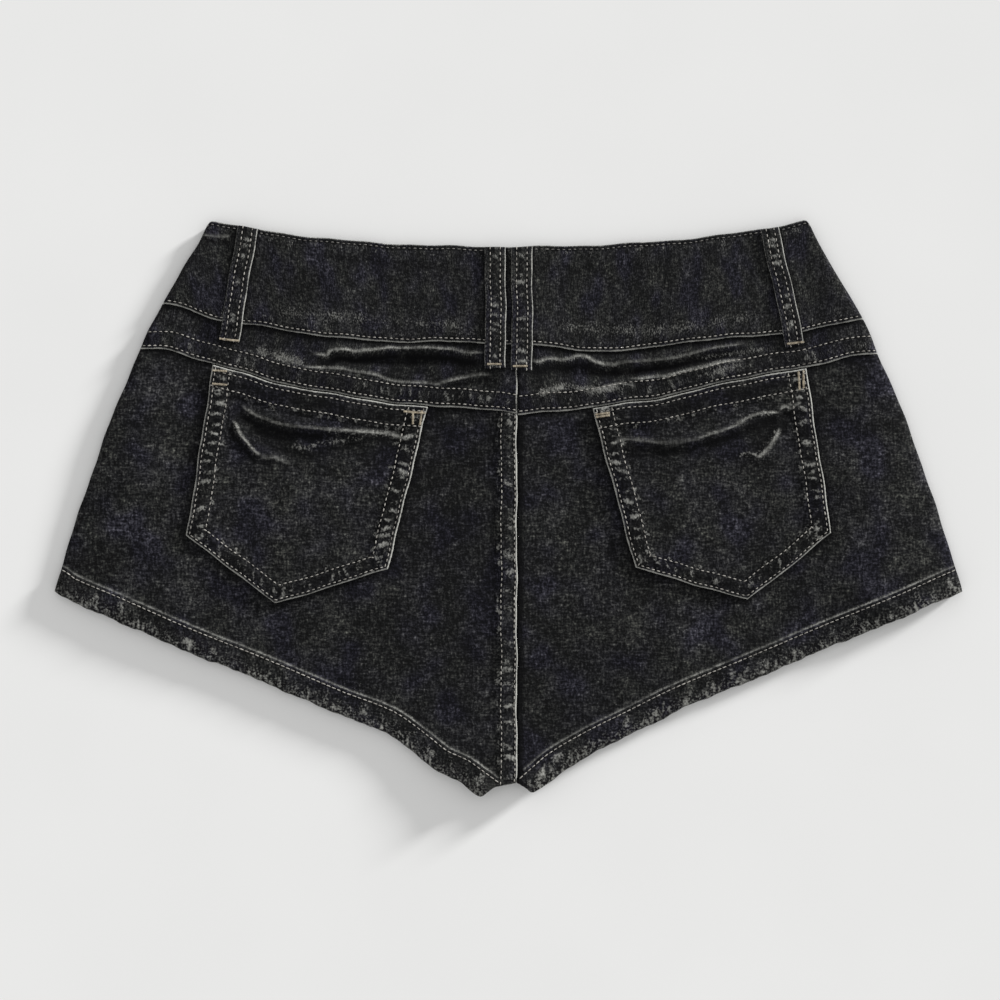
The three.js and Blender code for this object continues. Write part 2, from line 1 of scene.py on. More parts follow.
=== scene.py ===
"""Low-rise denim shorts in washed black, laid flat on their front with the back up.

Sizes are in millimetres in the part's frame, +Z up and +Y towards the waist, and turn into
metres where a mesh is made. Each piece of cloth is a thin shell on its solid's own form, with
creases, puckers and wear from named tables. The stitches are a mesh of their own.
"""
import math

import bmesh
import bpy
import numpy as np
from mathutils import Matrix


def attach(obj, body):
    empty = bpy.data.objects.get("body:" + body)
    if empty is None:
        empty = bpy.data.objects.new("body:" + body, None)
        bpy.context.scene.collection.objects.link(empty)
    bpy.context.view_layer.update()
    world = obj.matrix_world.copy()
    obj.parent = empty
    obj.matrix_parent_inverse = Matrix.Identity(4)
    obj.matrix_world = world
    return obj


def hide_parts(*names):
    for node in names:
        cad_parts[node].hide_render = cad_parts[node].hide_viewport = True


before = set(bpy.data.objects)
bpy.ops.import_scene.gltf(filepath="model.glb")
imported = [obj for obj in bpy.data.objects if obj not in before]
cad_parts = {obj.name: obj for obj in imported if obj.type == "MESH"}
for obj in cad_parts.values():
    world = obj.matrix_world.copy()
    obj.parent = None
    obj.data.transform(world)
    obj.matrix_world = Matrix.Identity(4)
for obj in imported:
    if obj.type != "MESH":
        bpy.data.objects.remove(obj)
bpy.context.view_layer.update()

MM = 0.001

# Cloth, as in the solids
CLOTH = 1.2
BAND_WALL = 2.4
HEM_WALL = 2.6
FELL_WALL = 2.2
GAP = 0.3
HEM_DEPTH = 15
YOKE_FELL = 12
CENTRE_FELL = 10.2
CENTRE_EDGE = 5.2
POCKET_HEM = 13.5
POCKET_TURN = 11
STEP = 1

# How the two layers lie
FOLD = 4.5
SIDE_LEVEL = 2.7
BACK_LEVEL = 3
# Both layers curl up off the surface at the crotch, where the thick seams meet
CURL_Y, CURL_ACROSS, CURL_ALONG, CURL_HEIGHT, CURL_LEAST = -176, 52, 30, 5, 0.05

# Front
FRONT_DIP = 38
FRONT_BAND = 50
FRONT_HEM_RISE = 9
FLY_EDGE = 3
BAND_END = 16
LOOP_SHARE, LOOP_HALF, LOOP_WALL = 0.45, 0.03, 1.2
BUTTON_X, BUTTON_Y, BUTTON_RADIUS, BUTTON_THICK = 6, 96, 8.5, 2.4
BUTTON_CLEAR, BUTTON_BLEND = 13, 11
SHIELD_FROM, SHIELD_TO, SHIELD_TOP, SHIELD_BOTTOM = -22, 24, 66, -16

# Corners where curves meet
WAIST_CORNER = (181.5, 169)
BAND_SIDE = {"left": 122.8, "right": 113.3}
YOKE_SIDE = {"left": 95.4, "right": 93}
HEM_SIDE = -50
LEG_FROM = 30  # where the line of a leg's opening leaves the outline and runs straight on
LEG_REACH = 26  # how far from that line the hem's marks go
TIP = {"left": 17, "right": 14.5}
SIGN = {"left": -1, "right": 1}

# Sewing
STITCH_PITCH = 3.3
TACK_PITCH = 0.5
EDGE_ROW = 2.2  # a row of stitches from the edge it holds
SECOND_ROW = 9  # the second row of a pair
HEM_ROW = 13.6
LOOP_ROW = 3.2
CENTRE_ROWS = (1.5, 9.5)  # along the felled centre seam
POCKET_TOP_ROWS = (3, 12.4)
TURNED_HEM = HEM_ROW + 0.8  # how deep the hem is two layers thick
MESH_STEP = 1.5  # between points of a shell
OWN_STEP = {"back_yoke": 0.9, "back_pocket": 1.0, "front_panel": 2.4, "belt_loop": 1.2, "fly_shield": 2}


def table(names, *rows):
    """Rows of numbers as named columns."""
    return dict(zip(names.split(), np.array(rows, float).T))


# Half width of the outline by height
SIDE = table(
    "y half",
    (-50, 272.5), (-31, 267.3), (-7, 259.5), (17, 251.6), (41, 243.2), (65, 234),
    (89, 223.8), (113, 213.2), (137, 199.4), (157, 187.6), (169, 181.5),
)
# Upper edge of the back waistband by distance from the middle
WAIST = table(
    "x left right",
    (0, 156.8, 156.8), (30, 157.3, 157.3), (50, 157.8, 157.8), (77, 159.2, 159.2),
    (101, 161, 161), (126, 163.7, 163.7), (147, 166.8, 166.8), (165, 169.8, 169.8),
    (175, 171.9, 171.9), (178.5, 172.2, 172.2), (181.5, 169, 169),
)
# Lower edge of the back waistband
BAND = table(
    "x left right",
    (0, 97.8, 97.8), (16, 98.4, 97.2), (40, 99.2, 94.6), (60, 99, 93.6), (80, 99.7, 94.9),
    (100, 101.3, 98.4), (125, 104.4, 101), (150, 108.6, 103), (175, 112, 105.8),
    (185, 115.6, 107.6), (196, 119.4, 110), (213, 123.2, 113.4),
)
# Lower edge of the yoke
YOKE = table(
    "x left right",
    (-6, 56, 56), (5, 57.9, 55.6), (22, 59.9, 57.6), (47, 60.9, 59.7), (67, 62.8, 63),
    (91, 66.6, 66.3), (115, 70.5, 72), (139, 75.5, 77.4), (163, 82.6, 82.2),
    (185, 88.8, 85), (205, 94.6, 90.8), (222, 95.4, 93),
)
# Lower edge of the back, from the crotch over the tip of the leg and along the hem
HEM = table(
    "x left right",
    (-6, -164.4, -164.4), (0, -165.7, -164.4), (5.5, -166.7, -164.8), (8, -167.4, -166.2),
    (11, -169.3, -168.2), (14.5, -171.8, -170.8), (17, -172.2, -170.2), (20, -170.9, -168),
    (24, -167.6, -165), (30, -163.5, -159.6), (44, -157, -151), (59, -145.4, -143),
    (75, -134.2, -135.2), (105, -122.6, -120.4), (150, -103.4, -101.8),
    (195, -85.4, -82.6), (240, -65.6, -64), (266, -54.6, -52.6), (272.5, -50, -50),
)
# Patch pockets by distance from the middle
POCKET = {
    "left": {
        "outer_top": 177.2, "inner_top": 48.2, "inner_bottom": (72.2, -36.6),
        "point": (140, -57.6), "outer_bottom": (192.8, -16.2),
    },
    "right": {
        "outer_top": 178.6, "inner_top": 50.2, "inner_bottom": (76, -36),
        "point": (143.8, -55.2), "outer_bottom": (193.6, -15),
    },
}
# Belt loops on the back: centre line from the waist edge down, width, wall under the foot
LOOPS = {
    "belt_loop_left": ((-156.2, 168), (-167.6, 100.4), 12.2, CLOTH),
    "belt_loop_centre_left": ((-7.7, 156.6), (-7.7, 84), 12.4, FELL_WALL),
    "belt_loop_centre_right": ((8.2, 156.6), (8.2, 82.4), 12.6, FELL_WALL),
    "belt_loop_right": ((156.6, 167.8), (172.2, 97.6), 11.2, CLOTH),
}
# Soft mounds that lift the back, the same on both sides
SWELLS = table(
    "x y across along height",
    (0, 94, 46, 40, 2.7), (114, 108, 34, 46, 1.9), (125, 18, 62, 46, 1.3),
    (60, -55, 60, 55, 1.2), (218, 15, 34, 85, 2.6), (0, -20, 26, 90, 0.7),
)
# The right corner of the hem is lifted: middle, half size across and along, and height
LIFT_X, LIFT_Y, LIFT_ACROSS, LIFT_ALONG, LIFT_HEIGHT = 246, -62, 40, 22, 4
# Largest folds, as in the solids: piece, from, via, to, width and height
FOLDS = [
    ("yoke", (-121, 92), (-70, 95.5), (-19, 93), 3, 1.5),
    ("yoke", (-120, 87), (-70, 88), (-19, 88), 3.5, -0.8),
    ("yoke", (-128, 87), (-86, 82.5), (-42, 75), 3, 1),
    ("yoke", (-44, 75), (-32, 76), (-15, 80.5), 3, 0.9),
    ("yoke", (20, 88.5), (60, 88), (105, 91.5), 3, 1.4),
    ("yoke", (96, 91), (122, 94.5), (150, 97.5), 3, 1),
    ("yoke", (20, 81), (60, 80), (125, 89.5), 3.5, -0.8),
    ("yoke", (22, 70), (45, 73.8), (76, 75.5), 3, 1),
    ("yoke", (76, 76.5), (108, 82.5), (142, 88.5), 3, 1.1),
    ("pocket", (-161, 62), (-122, 49), (-63, 42), 4, 1.6),
    ("pocket", (-164, 56), (-157, 40), (-134, 28), 4, 1.3),
    ("pocket", (67, 37), (121, 42.5), (164, 58), 4, 1.6),
    ("pocket", (140, 32), (154, 32), (163, 46), 4, 1.3),
]
# Creases: piece, then per crease its crest line, how wide and high the crest is, how worn it
# is from 0 to 1, and how far below it the trough lies and how deep it is, sunk and given painted shade
CREASES = [
    ("yoke", [(-119, 92.4), (-113, 91.8), (-109, 91.2), (-106, 94.2), (-98, 94.8), (-92, 93.6),
              (-86, 94.2), (-80, 94.8), (-70, 96.0), (-59, 94.8)], 0.9, 0.6, 0.85, 5.2, 1.0),
    ("yoke", [(-68, 95.4), (-50, 96.0), (-41, 95.4), (-32, 94.8), (-26, 93.0),
              (-13, 93.0)], 0.9, 0.6, 0.6, 5.6, 1.0),
    ("yoke", [(-153, 97.2), (-146, 93), (-137, 90.9), (-128, 88.2),
              (-119, 85.8)], 3.4, 0.3, 0.52, 0, 0),
    ("yoke", [(-126, 84.6), (-113, 84.0), (-101, 83.4), (-92, 81.6), (-80, 79.8), (-74, 77.4),
              (-65, 75.6), (-53, 75.0), (-42, 74.4)], 0.9, 0.4, 0.62, 0, 0),
    ("yoke", [(-47, 73.8), (-41, 74.4), (-35, 76.2), (-26, 78.0), (-17, 79.8),
              (-9, 79.2)], 1.0, 0.4, 0.5, 3.2, 0.5),
    ("yoke", [(9, 90.6), (14, 88.2), (19, 87.6), (24, 89.4), (34, 88.8), (42, 91.2), (48, 90.0),
              (53, 87.0), (62, 85.8), (73, 87.6)], 0.9, 0.6, 0.85, 5.4, 0.85),
    ("yoke", [(66, 87.0), (85, 88.2), (97, 89.4), (106, 91.2), (115, 93.6), (124, 96.0),
              (133, 97.2), (144, 99.0)], 0.9, 0.5, 0.5, 5.0, 0.95),
    ("yoke", [(109, 88.8), (121, 90.6), (133, 92.4), (142, 93.6), (151, 94.8),
              (166, 97.2)], 1.8, 0.3, 0.35, 4.2, 0.6),
    ("yoke", [(14, 67.8), (24, 70.2), (32, 72.6), (40, 72.0), (52, 70.8), (62, 72.0),
              (71, 73.2)], 2.7, 0.4, 0.64, 0, 0),
    ("yoke", [(51, 70.2), (60, 72.6), (67, 74.4), (72, 73.8), (77, 72.6)], 0.8, 0.3, 0.6, 0, 0),
    ("yoke", [(70, 78.0), (79, 77.4), (88, 78.6), (94, 78.6), (100, 80.4), (109, 82.8),
              (118, 84.6), (127, 87.0), (136, 88.2), (143, 87.6)], 0.9, 0.4, 0.78, 0, 0),
    ("yoke", [(116, 79.2), (124, 81.6), (133, 84.0), (143, 86.4)], 3.4, 0.1, 0.5, 0, 0),
    ("yoke", [(194, 94.8), (206, 97.2), (217, 97.8)], 3.2, 0.1, 0.42, 0, 0),
    ("pocket", [(-161, 62.4), (-157, 58.8), (-151, 55.2), (-140, 51.0), (-128, 48.6),
              (-106, 46.8)], 0.9, 0.5, 0.45, 4.6, 0.9),
    ("pocket", [(-114, 46.8), (-98, 46.2), (-89, 45.6), (-80, 45.0), (-72, 44.4), (-67, 42.6),
              (-58, 40.8)], 1.1, 0.5, 0.78, 3.4, 0.6),
    ("pocket", [(-166, 52.8), (-163, 49.2), (-161, 44.4), (-157, 39.6), (-154, 36.0),
              (-151, 33.0), (-147, 30.6)], 0.8, 0.5, 0.8, 3.6, 0.85),
    ("pocket", [(-149, 31.2), (-144, 29.4), (-140, 30.0), (-136, 28.2),
              (-130, 25.8)], 1.1, 0.3, 0.38, 3, 0.5),
    ("pocket", [(-132, 39.0), (-125, 36.6), (-120, 36.0), (-114, 38.4), (-104, 39.6), (-94, 41.4),
              (-84, 42.6)], 2.0, 0.3, 0.5, 4.2, 0.7),
    ("pocket", [(61, 36.0), (67, 40.2), (74, 40.8), (85, 39.6), (97, 38.4), (109, 40.2),
              (119, 42.0)], 1.3, 0.3, 0.28, 5, 0.7),
    ("pocket", [(112, 40.8), (120, 43.8), (128, 46.2), (136, 49.2),
                (145, 54.0)], 1.0, 0.5, 0.42, 5, 0.9),
    ("pocket", [(135, 49.8), (140, 52.2), (145, 54.6), (150, 56.4), (156, 57.0),
                (163, 57.0)], 0.8, 0.4, 0.95, 5, 0.9),
    ("pocket", [(162, 58.2), (166, 60.6), (169, 59.4), (172, 61.2),
              (176, 63.6)], 0.9, 0.4, 0.7, 3.6, 0.8),
    ("pocket", [(137, 31.2), (144, 32.4), (151, 31.2)], 1.6, 0.3, 0.42, 0, 0),
    ("pocket", [(148, 30.0), (153, 33.6), (156, 37.2), (159, 41.4),
              (163, 48.6)], 1.1, 0.5, 0.92, -3.8, 0.7),
    ("band", [(-184, 163.8), (-178, 162.9), (-172, 162.6), (-166, 162.9)], 0.9, 0.4, 0.5, 3, 0.8),
    ("band", [(-125, 154.8), (-89, 151.2), (-53, 147.6), (-17, 144.0)], 2.4, 0.2, 0.0, 2.4, 0.5),
    ("band", [(10, 145.8), (49, 145.2), (91, 147.6)], 2.4, 0.2, 0.0, 2.4, 0.5),
    ("band", [(-148, 118.8), (-107, 115.2), (-65, 111.6), (-16, 108.6)], 4.5, 0.2, 0.3, 0, 0),
    ("band", [(19, 109.8), (55, 107.4), (91, 106.8), (127, 111.6), (163, 117.6)], 4.5, 0.2, 0.34, 0, 0),
]
# Bar tacks: piece, from and to
TACKS = [
    ("back_pocket_left", (-177.2, 82.5), (-168.8, 81.9)),
    ("back_pocket_left", (-177.2, 74.4), (-168.8, 73.8)),
    ("back_pocket_left", (-62.6, 57.9), (-49.4, 56.7)),
    ("back_pocket_left", (-57.2, 57.6), (-57.2, 50.4)),
    ("back_pocket_left", (-51.8, 58.2), (-53.0, 49.8)),
    ("back_pocket_right", (51.4, 55.8), (60.4, 57.0)),
    ("back_pocket_right", (51.4, 54.3), (60.4, 55.5)),
    ("back_pocket_right", (173.8, 81.6), (174.4, 70.8)),
    ("back_pocket_right", (176.8, 82.2), (176.8, 72.0)),
    ("belt_loop_centre_left", (-12.5, 86.1), (-4.4, 86.1)),
    ("belt_loop_centre_right", (2.9, 84.9), (11.3, 84.9)),
    ("belt_loop_left", (-173.0, 101.4), (-161.6, 100.2)),
    ("belt_loop_right", (167.2, 98.4), (177.4, 99.6)),
]
# Hollows between the creases, sunk and given painted shade: piece, line, half width and depth
HOLLOWS_WITH_PAINTED_SHADE = [
    ("pocket", [(-157, 50.4), (-148, 45.0), (-136, 42.0), (-124, 40.2)], 3.2, 0.8),
    ("pocket", [(-155, 42.0), (-142, 37.2), (-127, 31.2), (-118, 28.8)], 2.6, 0.7),
    ("pocket", [(57, 33.6), (79, 31.8), (109, 33.6), (126, 37.2)], 2.8, 0.6),
    ("pocket", [(125, 40.8), (139, 44.4), (153, 49.2), (162, 52.8)], 4.0, 0.75),
    ("pocket", [(165, 56.4), (165, 50.4), (164, 43.2)], 2.4, 0.6),
    ("yoke", [(55, 82.8), (79, 82.2), (109, 86.4)], 2.6, 0.7),
    ("yoke", [(-97, 88.2), (-65, 87.6), (-41, 88.2), (-18, 88.8)], 3.0, 0.8),
    ("yoke", [(-41, 81.6), (-65, 82.2), (-80, 84.0)], 2.0, 0.5),
]
# Where the seat and pockets are washed lighter (or darker, below 0), over everything there
FADES = table(
    "x y across along amount",
    (-125, 0, 48, 38, 0.5), (127, 12, 46, 36, 0.4), (-225, 20, 40, 70, 0.3), (228, 10, 40, 70, 0.3),
    (-150, -80, 60, 26, 0.2), (120, -75, 60, 30, 0.3), (-40, 10, 30, 80, -0.5), (36, 20, 26, 70, 0.1),
    (-20, -90, 60, 40, -0.1), (60, 5, 30, 60, -0.1),
    (-118, 42, 50, 16, -0.5), (120, 40, 50, 16, -0.5),
    (0, -60, 8, 100, 0.5), (0, 122, 16, 36, 0.7), (-162, 134, 12, 34, 0.45), (165, 132, 12, 34, 0.45),
)


def between(rows, key, column, at):
    """A smooth value between the rows of a table, by the column named key."""
    k, c = rows[key], rows[column]
    count = len(k)
    low = np.maximum(np.arange(count) - 1, 0)
    high = np.minimum(np.arange(count) + 1, count - 1)
    slope = (c[high] - c[low]) / (k[high] - k[low])
    at = np.asarray(at, float)
    i = np.clip(np.searchsorted(k, at) - 1, 0, count - 2)
    step = k[i + 1] - k[i]
    t = np.clip((at - k[i]) / step, 0, 1)
    fall = (1 + 2 * t) * (1 - t) ** 2
    curve = t * (1 - t) ** 2 * slope[i] - t**2 * (1 - t) * slope[i + 1]
    return fall * c[i] + (1 - fall) * c[i + 1] + step * curve


def side_x(y):
    return between(SIDE, "y", "half", y)


def smooth(x):
    x = np.clip(x, 0, 1)
    return x * x * (3 - 2 * x)


def rounded(distance, radius):
    """Rise of a round edge from 0 at the edge to 1 at its radius."""
    return np.sqrt(np.clip(1 - (1 - np.clip(distance / radius, 0, 1)) ** 2, 0, 1))


def bell(distance, width):
    return np.exp(-((distance / width) ** 2))


ALL_ROUND = dict.fromkeys(("start", "end", "top", "bottom"), "round")


class Line:
    """A line in plan, read by the share of its length."""

    def __init__(self, points):
        self.points = np.asarray(points, float)
        steps = np.linalg.norm(np.diff(self.points, axis=0), axis=1)
        self.reach = np.concatenate([[0], np.cumsum(steps)])
        self.length = self.reach[-1]

    def at(self, share):
        along = np.clip(np.asarray(share, float), 0, 1) * self.length
        return np.stack([np.interp(along, self.reach, self.points[:, k]) for k in (0, 1)], -1)


def soft_line(points, pieces=14):
    """A smooth line through a few points."""
    p = np.asarray(points, float)
    rows = {"t": np.arange(len(p), dtype=float), "x": p[:, 0], "y": p[:, 1]}
    t = np.linspace(0, len(p) - 1, pieces * (len(p) - 1) + 1)
    return Line(np.stack([between(rows, "t", "x", t), between(rows, "t", "y", t)], -1))


def cross_line(side, from_x, to_x, height_at, samples=500):
    """From the side of the shorts to the middle."""
    share = np.linspace(0, 1, samples)
    x = to_x + (from_x - to_x) * (1 - share) ** 1.5
    return Line(np.stack([SIGN[side] * x, height_at(x)], -1))


def seam_line(rows, side, from_x, to_x, shift=0.0):
    return cross_line(side, from_x, to_x, lambda x: between(rows, "x", side, x) + shift)


def side_line(side, from_y, to_y):
    y = np.linspace(from_y, to_y, 80)
    return Line(np.stack([SIGN[side] * side_x(y), y], -1))


def patch(top, bottom, start, end):
    """The plan of a piece between four edges, as a function of u across and v down."""
    corner = [top.at(0), top.at(1), bottom.at(0), bottom.at(1)]

    def plan(u, v):
        u, v = np.broadcast_arrays(np.asarray(u, float), np.asarray(v, float))
        t, b, s, e = top.at(u), bottom.at(u), start.at(v), end.at(v)
        u, v = u[..., None], v[..., None]
        return (
            (1 - v) * t + v * b + (1 - u) * s + u * e
            - (1 - u) * (1 - v) * corner[0] - u * (1 - v) * corner[1]
            - (1 - u) * v * corner[2] - u * v * corner[3]
        )

    return plan


def near_line(x, y, line, reach=None):
    """Distance to a line, share of the way along it, and side: below it is positive.

    Points further than reach from the line's own box are left at a great distance.
    """
    p = line.points
    distance, share, below = np.full(x.shape, 999.0), np.zeros(x.shape), np.ones(x.shape)
    close = np.ones(x.shape, bool)
    if reach is not None:
        for at, k in ((x, 0), (y, 1)):
            close &= (at > p[:, k].min() - reach) & (at < p[:, k].max() + reach)
    flat = np.stack([x[close], y[close]], -1)
    best, along, under = np.full(len(flat), 999.0), np.zeros(len(flat)), np.ones(len(flat))
    for n in range(len(p) - 1):
        d = p[n + 1] - p[n]
        away = flat - p[n]
        t = np.clip(away @ d / (d @ d), 0, 1)
        off = away - t[:, None] * d
        far = np.hypot(off[:, 0], off[:, 1])
        nearer = far < best
        best = np.where(nearer, far, best)
        along = np.where(nearer, (line.reach[n] + t * np.hypot(*d)) / line.length, along)
        under = np.where(nearer, np.where(off[:, 1] > 0, -1, 1), under)
    distance[close], share[close], below[close] = best, along, under
    return distance, share, below


def curl(x, y):
    """How far both layers curl up."""
    return np.maximum(0, CURL_HEIGHT * bell(x, CURL_ACROSS) * bell(y - CURL_Y, CURL_ALONG) - CURL_LEAST)


def back_lie(x, y):
    """Underside of the back layer."""
    height = BACK_LEVEL + curl(x, y)
    height = height + LIFT_HEIGHT * bell(x - LIFT_X, LIFT_ACROSS) * bell(y - LIFT_Y, LIFT_ALONG)
    for n in range(len(SWELLS["x"])):
        across = (np.abs(x) - SWELLS["x"][n]) / SWELLS["across"][n]
        along = (y - SWELLS["y"][n]) / SWELLS["along"][n]
        height = height + SWELLS["height"][n] * np.exp(-(across**2) - along**2)
    return height


def fold_height(on, x, y):
    """The largest folds, which the solids have too."""
    height = np.zeros(np.shape(x))
    for piece, start, via, end, width, rise in FOLDS:
        if piece != on:
            continue
        bend = [2 * via[k] - (start[k] + end[k]) / 2 for k in (0, 1)]
        t = np.linspace(0, 1, 11)[:, None]
        points = (1 - t) ** 2 * np.array(start) + 2 * t * (1 - t) * np.array(bend) + t**2 * np.array(end)
        distance, share, _ = near_line(x, y, Line(points), 3 * width)
        fade = np.minimum(1, np.minimum(4 * share, 4 * (1 - share)))
        height += rise * fade * bell(distance, width)
    return height


def ragged(s, period, seed):
    """Uneven values from 0.35 to 1 along a length, a new one for each period."""
    rng = np.random.default_rng(seed)
    knots = rng.uniform(0.35, 1, 400)
    at = np.asarray(s) / period + 100
    i = np.floor(at).astype(int) % 399
    t = smooth(at - np.floor(at))
    return knots[i] * (1 - t) + knots[i + 1] * t


def ladder(s, period, seed):
    """Puckers along a seam: uneven crests from 0 to 1, about one in each period."""
    rng = np.random.default_rng(seed)
    jitter = rng.uniform(-0.24, 0.24, 400)
    size = rng.uniform(0.45, 1, 400)
    at = np.asarray(s) / period + 100
    crest = np.zeros(np.shape(at))
    for shift in (-1, 0, 1):
        i = (np.floor(at).astype(int) + shift) % 400
        centre = np.floor(at) + shift + 0.5 + jitter[i]
        crest = np.maximum(crest, size[i] * np.exp(-(((at - centre) / 0.3) ** 2)))
    return crest


def rungs(s, across, half, period, seed):
    """Marks worn across a strip, each of its own size, slant and strength, from 0 to 1.

    s runs along the strip, and across is the distance from its middle line.
    """
    rng = np.random.default_rng(seed)
    jitter, slant, shift = (rng.uniform(-a, a, 400) for a in (0.32, 0.4, 0.35))
    size, reach, long = (rng.uniform(a, b, 400) for a, b in ((0, 1), (0.5, 1.1), (0.16, 0.34)))
    at = np.asarray(s) / period + 100
    crest = np.zeros(np.shape(at))
    for step in (-1, 0, 1):
        i = (np.floor(at).astype(int) + step) % 400
        centre = np.floor(at) + step + 0.5 + jitter[i]
        along = (at - centre - slant[i] * across / period) / long[i]
        over = (across / half - shift[i]) / reach[i]
        crest = np.maximum(crest, size[i] ** 0.7 * np.exp(-(along**2) - over**4))
    return crest


def look(m, **values):
    """What marks a surface, with nothing on it unless given.

    height in mm, wear and painted shade from 0 to 1, rim the distance in mm to the nearest rubbed edge,
    line the distance to the nearest sharp crease in half widths, and crest how worn that is.
    """
    plain = {"height": 0.0, "wear": 0.0, "dark": 0.0, "rim": 9.0, "line": 9.0, "crest": 0.0}
    plain.update(values)
    return {name: np.broadcast_to(value, m["x"].shape).astype(float) for name, value in plain.items()}


def creases(on, m):
    """The creases and hollows of a kind of piece, as a look, with painted shade in troughs and hollows."""
    x, y = m["x"], m["y"]
    got = look(m)
    shown = np.zeros(x.shape)
    for n, (piece, points, width, rise, worn, trough, depth) in enumerate(CREASES):
        if piece != on:
            continue
        line = soft_line(points, 6)
        distance, share, below = near_line(x, y, line, 3 * width + 2.2 * abs(trough))
        ends = smooth(7 * share) * smooth(7 * (1 - share))
        uneven = ragged(share * line.length, 6, 40 + n)
        crest = ends * bell(distance, width)
        got["height"] += rise * crest * (0.7 + 0.3 * uneven)
        if width > 1.5:
            got["wear"] = np.maximum(got["wear"], worn * uneven * crest)
        else:
            strength = worn * (0.15 + 0.95 * uneven**1.5) * ends
            seen = strength * np.exp(-distance / width)
            nearer = seen > shown
            shown = np.where(nearer, seen, shown)
            widths = distance / (width * (0.6 + 0.5 * ragged(share * line.length, 11, 80 + n)))
            got["line"] = np.where(nearer, below * widths * (1 if trough >= 0 else -1), got["line"])
            near = 1 - smooth((widths - 1.8) / 1.6)
            got["crest"] = np.where(nearer, strength * near, got["crest"])
            got["wear"] = np.maximum(got["wear"], 0.4 * worn * ends * bell(distance, 2.2 * width))
        # A trough sinks below the crest and gets painted shade, less on the crest itself
        if trough:
            under = ends * bell(below * distance - trough, abs(trough) * 0.66)
            got["height"] -= 0.5 * depth * under
            got["dark"] = np.maximum(got["dark"], depth * under * (1 - 0.9 * crest))
    for piece, points, width, depth in HOLLOWS_WITH_PAINTED_SHADE:
        if piece != on:
            continue
        distance, share, _ = near_line(x, y, soft_line(points, 5), 3 * width)
        under = smooth(5 * share) * smooth(5 * (1 - share)) * bell(distance, width)
        # Each of these hollows sinks and gets painted shade, less where a crease's line shows
        got["height"] -= 0.5 * depth * under
        got["dark"] = np.maximum(got["dark"], depth * under * (1 - smooth(shown * 2)))
    return got


def warp(p):
    """Small unevenness in plan, the same for every piece, so that neighbours still meet."""
    x, y = p[..., 0], p[..., 1]
    across = 0.28 * np.sin(y / 8.3 + 1.2 * np.sin(x / 31)) + 0.16 * np.sin(y / 3.7 + x / 19)
    along = 0.3 * np.sin(x / 9.1 + 1.4 * np.sin(y / 27)) + 0.2 * np.sin(x / 4.1 - y / 17)
    return p + np.stack([across, along], -1)


class Cloth:
    """A piece of cloth: its plan, its lie, its wall, and what marks its surface.

    edges gives for start, end, top and bottom how each is finished: fold, round or butt.
    marks(m) returns the look of its points from their measures, and rows lists the rows of
    stitches as (edge, distance from it). front is for the layer that lies on the surface,
    grain for cloth whose threads run with the part's axes, and leg is a leg's opening.
    """

    def __init__(self, name, plan, under, wall, edges, marks=None, front=False, rows=(), grain=True,
                 leg=None):
        self.name, self.plan, self.under, self.wall = name, plan, under, wall
        self.edges, self.marks, self.front, self.rows = edges, marks, front, rows
        self.grain, self.leg = grain, leg

    def measure(self, u, v):
        """Everything that the wall and marks are worked out from, at u across and v down."""
        u, v = np.broadcast_arrays(np.asarray(u, float), np.asarray(v, float))
        p = warp(self.plan(u, v))
        width = np.linalg.norm(self.plan(0 * v, v) - self.plan(0 * v + 1, v), axis=-1)
        length = np.linalg.norm(self.plan(u, 0 * u) - self.plan(u, 0 * u + 1), axis=-1)
        got = {
            "u": u, "v": v, "x": p[..., 0], "y": p[..., 1],
            "start": u * width, "end": (1 - u) * width,
            "top": v * length, "bottom": (1 - v) * length,
        }
        if self.leg:
            x = got["x"]
            got["leg"] = near_line(x, got["y"], self.leg, LEG_REACH)[0]
            fray = 0.18 * np.sin(x / 1.3 + 2 * np.sin(x / 13)) + 0.22 * np.sin(x / 3.1 + 3 * np.sin(x / 29))
            got["y"] = got["y"] + fray * bell(got["leg"], 3.5)
        return got

    def lay(self, u, v, inner=False):
        """Points of the outer or inner side, and how they look."""
        m = self.measure(u, v)
        wall = self.wall(m)
        seen = self.marks(m) if self.marks and not inner else look(m)
        under = self.under(m)
        middle = under + wall / 2
        pinch = np.ones(m["u"].shape)
        for edge, finish in self.edges.items():
            if finish == "round":
                pinch = pinch * rounded(m[edge], wall * 0.55)
        half = (wall / 2 + seen["height"]) * pinch
        upper = self.front == inner
        z = middle + half if upper else middle - half
        if self.front and not inner:
            z = np.maximum(z, under)
        level = SIDE_LEVEL - GAP if self.front else SIDE_LEVEL
        for edge, finish in self.edges.items():
            if finish == "fold":
                shift = wall if inner else 0
                z = level + (z - level) * rounded(m[edge] - shift, FOLD - shift)
        seen["row"] = np.full(m["u"].shape, 20.0)
        for edge, distance in self.rows:
            seen["row"] = np.minimum(seen["row"], np.abs(m[edge] - distance))
        seen["fade"] = np.zeros(m["u"].shape)
        for x, y, across, along, amount in zip(*FADES.values()):
            seen["fade"] += amount * bell(m["x"] - x, across) * bell(m["y"] - y, along)
        return m, z, seen


def stops(kind, wall, inner, marks=()):
    """Distances from an edge at which the mesh has lines, up to where the even ones begin."""
    if kind == "fold":
        shift = wall if inner else 0
        turns = np.radians(np.arange(0, 91, 15))
        return list(shift + (FOLD - shift) * (1 - np.cos(turns)))
    radius = wall * 0.55
    near = [0.0]
    if kind == "round":
        near += [radius * (1 - math.cos(math.radians(a))) for a in (28, 52, 74, 90)]
    return near + [d for d in marks if d > near[-1] + 0.2]


